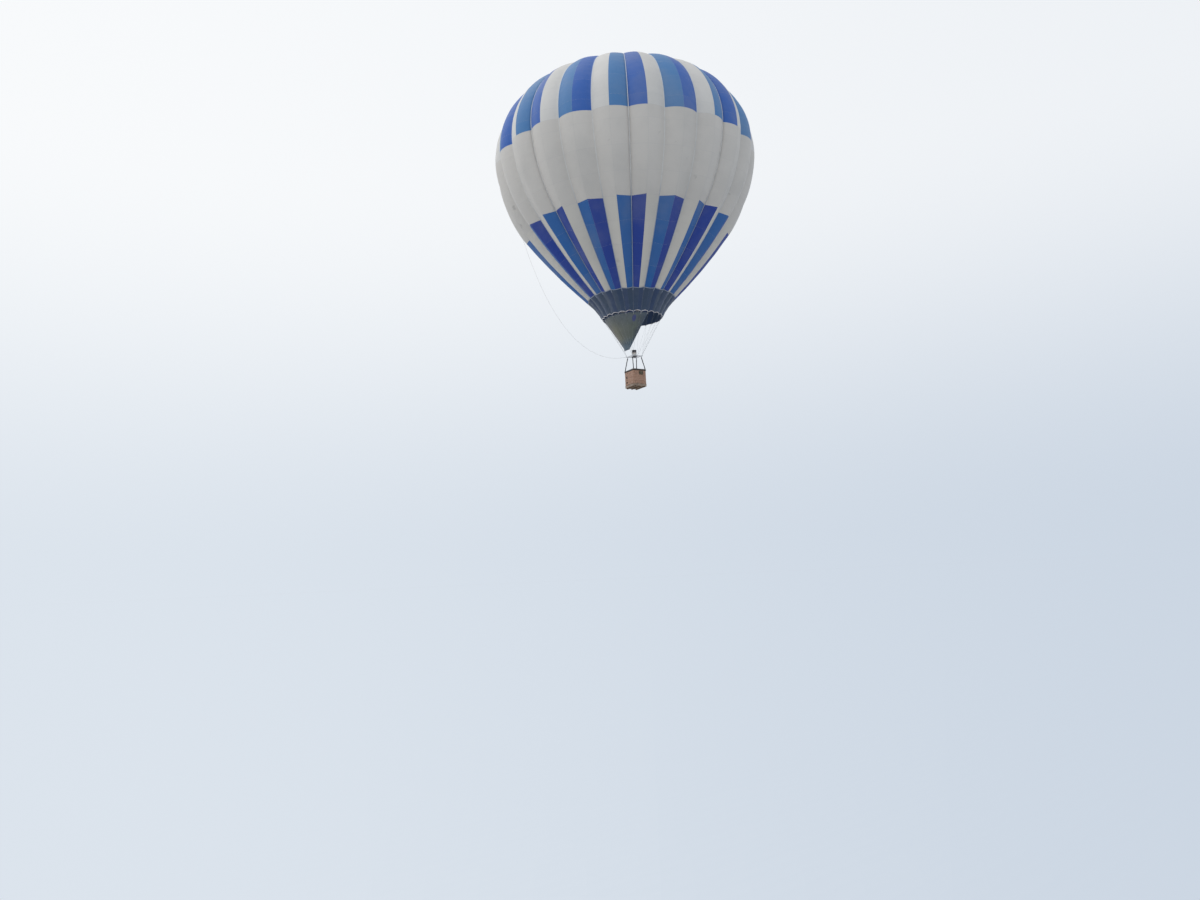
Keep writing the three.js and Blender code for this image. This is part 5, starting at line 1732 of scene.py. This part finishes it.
# Fuel cylinders
# Two aluminium propane cylinders strapped upright in opposite corners, each in a quilted jacket
# that keeps the fuel warm. A collar guards the valve.
CYLINDER_FROM_WALL, CYLINDER_STAND = 0.176, 0.0732
JACKET_LOW, JACKET_HIGH, JACKET_CHANNEL, BELT_LEVELS = 0.055, 0.715, 0.660 / 9, (0.22, 0.55)
JACKET_BORE, BELT_INNER, BELT_OUTER, BELT_HALF = 0.1305, 0.1345, 0.1385, 0.019
# Profiles: radius, and height over the cylinder's foot
SHELL_FOOT = ((0, 0.030), (0.100, 0.030), (0.124, 0.048), (0.130, 0.080))
COLLAR = ((0.077, 0.790), (0.082, 0.790), (0.082, 0.858), (0.0795, 0.860), (0.077, 0.858), (0.077, 0.790))
VALVE_BODY = ((0, 0.800), (0.018, 0.800), (0.018, 0.816), (0.013, 0.818), (0.013, 0.836), (0, 0.836))
VALVE_OUTLET = ((0, 0), (0.008, 0), (0.008, 0.026), (0.011, 0.028), (0.011, 0.042), (0, 0.042))
HAND_WHEEL = (
    (0, 0.836), (0.005, 0.836), (0.005, 0.846), (0.024, 0.846), (0.026, 0.850), (0.024, 0.856), (0, 0.856),
)

brushed = metal("brushed_aluminium", (0.60, 0.61, 0.62), (0.42, 0.42, 0.43), 0.30, 14.0, stretch=(1, 1, 14))
jacket_cloth = canvas("jacket_canvas", (0.030, 0.036, 0.055), (0.075, 0.082, 0.105))


def quilted_down(point):
    """Whether a point of a jacket lies on the cylinder, in a seam or under a belt."""
    to_seam = (point.z - JACKET_LOW + JACKET_CHANNEL / 2) % JACKET_CHANNEL - JACKET_CHANNEL / 2
    belted = any(abs(point.z - level) < 0.020 for level in BELT_LEVELS)
    return point.xy.length < JACKET_BORE + 0.0015 or abs(to_seam) < 0.004 or belted


for name, x, y in (("left", -1, 1), ("right", 1, -1)):
    in_corner = (x * (BASKET_HALF_X - CYLINDER_FROM_WALL), y * (BASKET_HALF_Y - CYLINDER_FROM_WALL))
    place = BASKET_AXES @ moved(*in_corner, CYLINDER_STAND)
    cylinder = Shop(place)
    dome = [(0.130 * math.cos(t) ** 0.8, 0.724 + 0.080 * math.sin(t)) for t in np.linspace(0, 1.35, 9)]
    cylinder.turn([*SHELL_FOOT, *dome, (0, 0.804)], brushed, None, 40)
    cylinder.turn(bar(0.118, 0, 0.040, 0, 0.112), brushed, None, 40)
    cylinder.turn(COLLAR, brushed, None, 36)
    cylinder.turn(VALVE_BODY, brass, None, 8)
    cylinder.turn(VALVE_OUTLET, brass, moved(0.010, 0, 0.824) @ ALONG_X, 12)
    cylinder.turn(HAND_WHEEL, red_grip, None, 9)
    cylinder.piece(f"cylinder_{name}", "envelope_and_basket", "cylinder", (f"fuel_cylinder_{name}",))

    jacket = Shop(place)
    quilt = [(JACKET_BORE, JACKET_LOW)]
    for z in np.linspace(JACKET_LOW, JACKET_HIGH, 100):
        channel = abs(math.sin((z - JACKET_LOW) / JACKET_CHANNEL * math.pi)) ** 0.35
        belt = sum(math.exp(-(((z - level) / 0.022) ** 2)) for level in BELT_LEVELS)
        quilt.append((0.1345 + 0.0050 * channel - 0.0035 * belt, z))
    quilt += [(JACKET_BORE, JACKET_HIGH), (JACKET_BORE, JACKET_LOW)]
    jacket.turn(quilt, jacket_cloth, None, 120)
    cover = {"held": quilted_down, "pressure": 2.5, "slack": 0.07, "reach": 0.004}
    quilted = jacket.piece(f"jacket_{name}", "envelope_and_basket", "cylinder", (), 60, cover)

    belts = Shop(place)
    for level in BELT_LEVELS:
        band = bar(BELT_OUTER, -BELT_HALF, BELT_HALF, 0, BELT_INNER)
        belts.turn(band, black_webbing, moved(0, 0, level), 48)
        buckle = turned(math.degrees(math.atan2(-y, -x))) @ moved(BELT_OUTER + 0.002, 0, level)
        belts.box((0.006, 0.050, 0.046), buckle, stainless, 0.002)
    belts.piece(f"cylinder_belts_{name}", "envelope_and_basket", "cylinder")

# Side pouch
# A soft blank bag for papers and gloves, strapped to the outside of the right wall. It is of olive
# brown canvas, with a flap over its upper half and two black straps.
olive_canvas = canvas("olive_canvas", (0.085, 0.066, 0.038), (0.17, 0.145, 0.095))
POUCH_WIDTH, POUCH_DEPTH, POUCH_HEIGHT, POUCH_ALONG, POUCH_LEVEL = 0.300, 0.026, 0.220, 0.060, 0.880
POUCH_STRAPS, POUCH_SIDES = POUCH_WIDTH * 0.28, 48

bag = Shop(BASKET_AXES)
pouch_middle = Vector((POUCH_ALONG, -BASKET_HALF_Y - POUCH_DEPTH / 2 - 0.0004, POUCH_LEVEL))
rings = []
for rise in np.linspace(-1, 1, 25):
    ring = []
    for k in range(POUCH_SIDES):
        turn = 2 * math.pi * k / POUCH_SIDES
        side, deep = squarer(math.cos(turn), 0.35), squarer(math.sin(turn), 0.55)
        edge = (1 - abs(rise) ** 6) ** 0.5
        sag = 1 - 0.30 * (rise + 1) / 2
        puff = POUCH_DEPTH / 2 * deep * (0.30 + 0.70 * edge * sag)
        crease = noise.noise(Vector((side * 3, rise * 3, deep))) * 0.0015
        aside = side * POUCH_WIDTH / 2 * (0.985 - 0.015 * rise**2)
        point = Vector((aside, puff + crease * (deep < 0), rise * POUCH_HEIGHT / 2))
        ring.append(pouch_middle + point)
    rings.append(ring)
bag.skin(rings, olive_canvas)


def under_flap(point):
    """Whether a point of the pouch lies against the wall, under the flap or under a strap."""
    strapped = abs(abs(point.x - POUCH_ALONG) - POUCH_STRAPS) < 0.016
    behind = point.y > -BASKET_HALF_Y - 0.004
    return behind or strapped or point.z > POUCH_LEVEL - 0.006


cover = {"held": under_flap, "pressure": 2.0, "slack": 0.06, "reach": 0.004, "voxel": 0.004}
pouch = bag.piece("pouch_bag", "envelope_and_basket", "pouch", ("side_pouch",), 60, cover)

flap = Shop(BASKET_AXES)
front = -BASKET_HALF_Y - POUCH_DEPTH - 0.0010
upper_half = (POUCH_ALONG, front + 0.0035, POUCH_LEVEL + 0.052)
flap.box((POUCH_WIDTH * 0.98, 0.003, POUCH_HEIGHT * 0.50), upper_half, olive_canvas, 0.0012)
for side in (-1, 1):
    x = POUCH_ALONG + side * POUCH_STRAPS
    strap = (x, front + 0.0005, POUCH_LEVEL + 0.006)
    flap.box((0.024, 0.0022, POUCH_HEIGHT * 0.86), strap, black_webbing, 0.0008)
    flap.box((0.036, 0.0050, 0.030), (x, front - 0.0010, POUCH_LEVEL - 0.012), black_rubber, 0.0015)
flap.piece("pouch_flap", "envelope_and_basket", "pouch")

# Stage
# A pale floor at the camera's feet under an overcast sky that is paler higher up and duller to the
# right. The floor is a softer grey under the balloon and has the sky's own tone further out, so no
# horizon shows.
FLOOR_Z, FLOOR_HALF = CAMERA_PLACE.z - 0.0005, 700
SKY_LOW, SKY_HIGH, SKY_RIGHT = (0.715, 0.775, 0.845), (0.940, 0.956, 0.972), (0.42, 0.51, 0.64)
FLOOR_GREY, GREY_FLOOR, PALE_FLOOR = (0.45, 0.455, 0.46), 22, 54
SUN_STRENGTH, SUN_WIDTH, SUN_TURN = 0.9, math.radians(70), (math.radians(-6), math.radians(-38), 0)


def sky_tone(tree, direction):
    """The sky's colour in a direction."""
    rightwards, _, upwards = tree.split(direction)
    high = upwards.above(0.02, 0.42)
    colour = tree.mix(high, SKY_LOW, SKY_HIGH)
    return tree.mix(rightwards.above(-0.6, 0.8) * (0.42 - high * 0.24), colour, SKY_RIGHT)


world = bpy.data.worlds.new("overcast")
world.use_nodes = True
sky = Tree(world.node_tree)
sky_colour = sky_tone(sky, sky.add("ShaderNodeTexCoord").outputs["Generated"])
sky.tree.links.new(sky_colour, sky.tree.nodes["Background"].inputs["Color"])
scene.world = world

sun = bpy.data.objects.new("sun", bpy.data.lights.new("sun", "SUN"))
sun.data.energy, sun.data.angle, sun.rotation_euler = SUN_STRENGTH, SUN_WIDTH, SUN_TURN
scene.collection.objects.link(sun)

floor_paint = Finish("floor_paint", {"Roughness": 0.9, "Specular IOR Level": 0.0, "Emission Strength": 1.0})
away = floor_paint.vector("LENGTH", floor_paint.place()).outputs["Value"]
pale = floor_paint.number(away).above(GREY_FLOOR, PALE_FLOOR)
ray = floor_paint.vector("SUBTRACT", floor_paint.place(), (*CAMERA_PLACE.xy, 0))
far_tone = sky_tone(floor_paint, floor_paint.vector("NORMALIZE", ray))
floor_paint.set("Base Color", floor_paint.mix(pale, FLOOR_GREY, (0, 0, 0)))
floor_paint.set("Emission Color", floor_paint.mix(pale, (0, 0, 0), far_tone))

floor_mesh = bpy.data.meshes.new("floor")
corners = [(x * FLOOR_HALF, y * FLOOR_HALF, 0) for x, y in ((-1, -1), (1, -1), (1, 1), (-1, 1))]
floor_mesh.from_pydata(corners, [], [(0, 1, 2, 3)])
floor_mesh.materials.append(floor_paint.material)
floor = bpy.data.objects.new("floor", floor_mesh)
floor.location.z = FLOOR_Z
scene.collection.objects.link(floor)
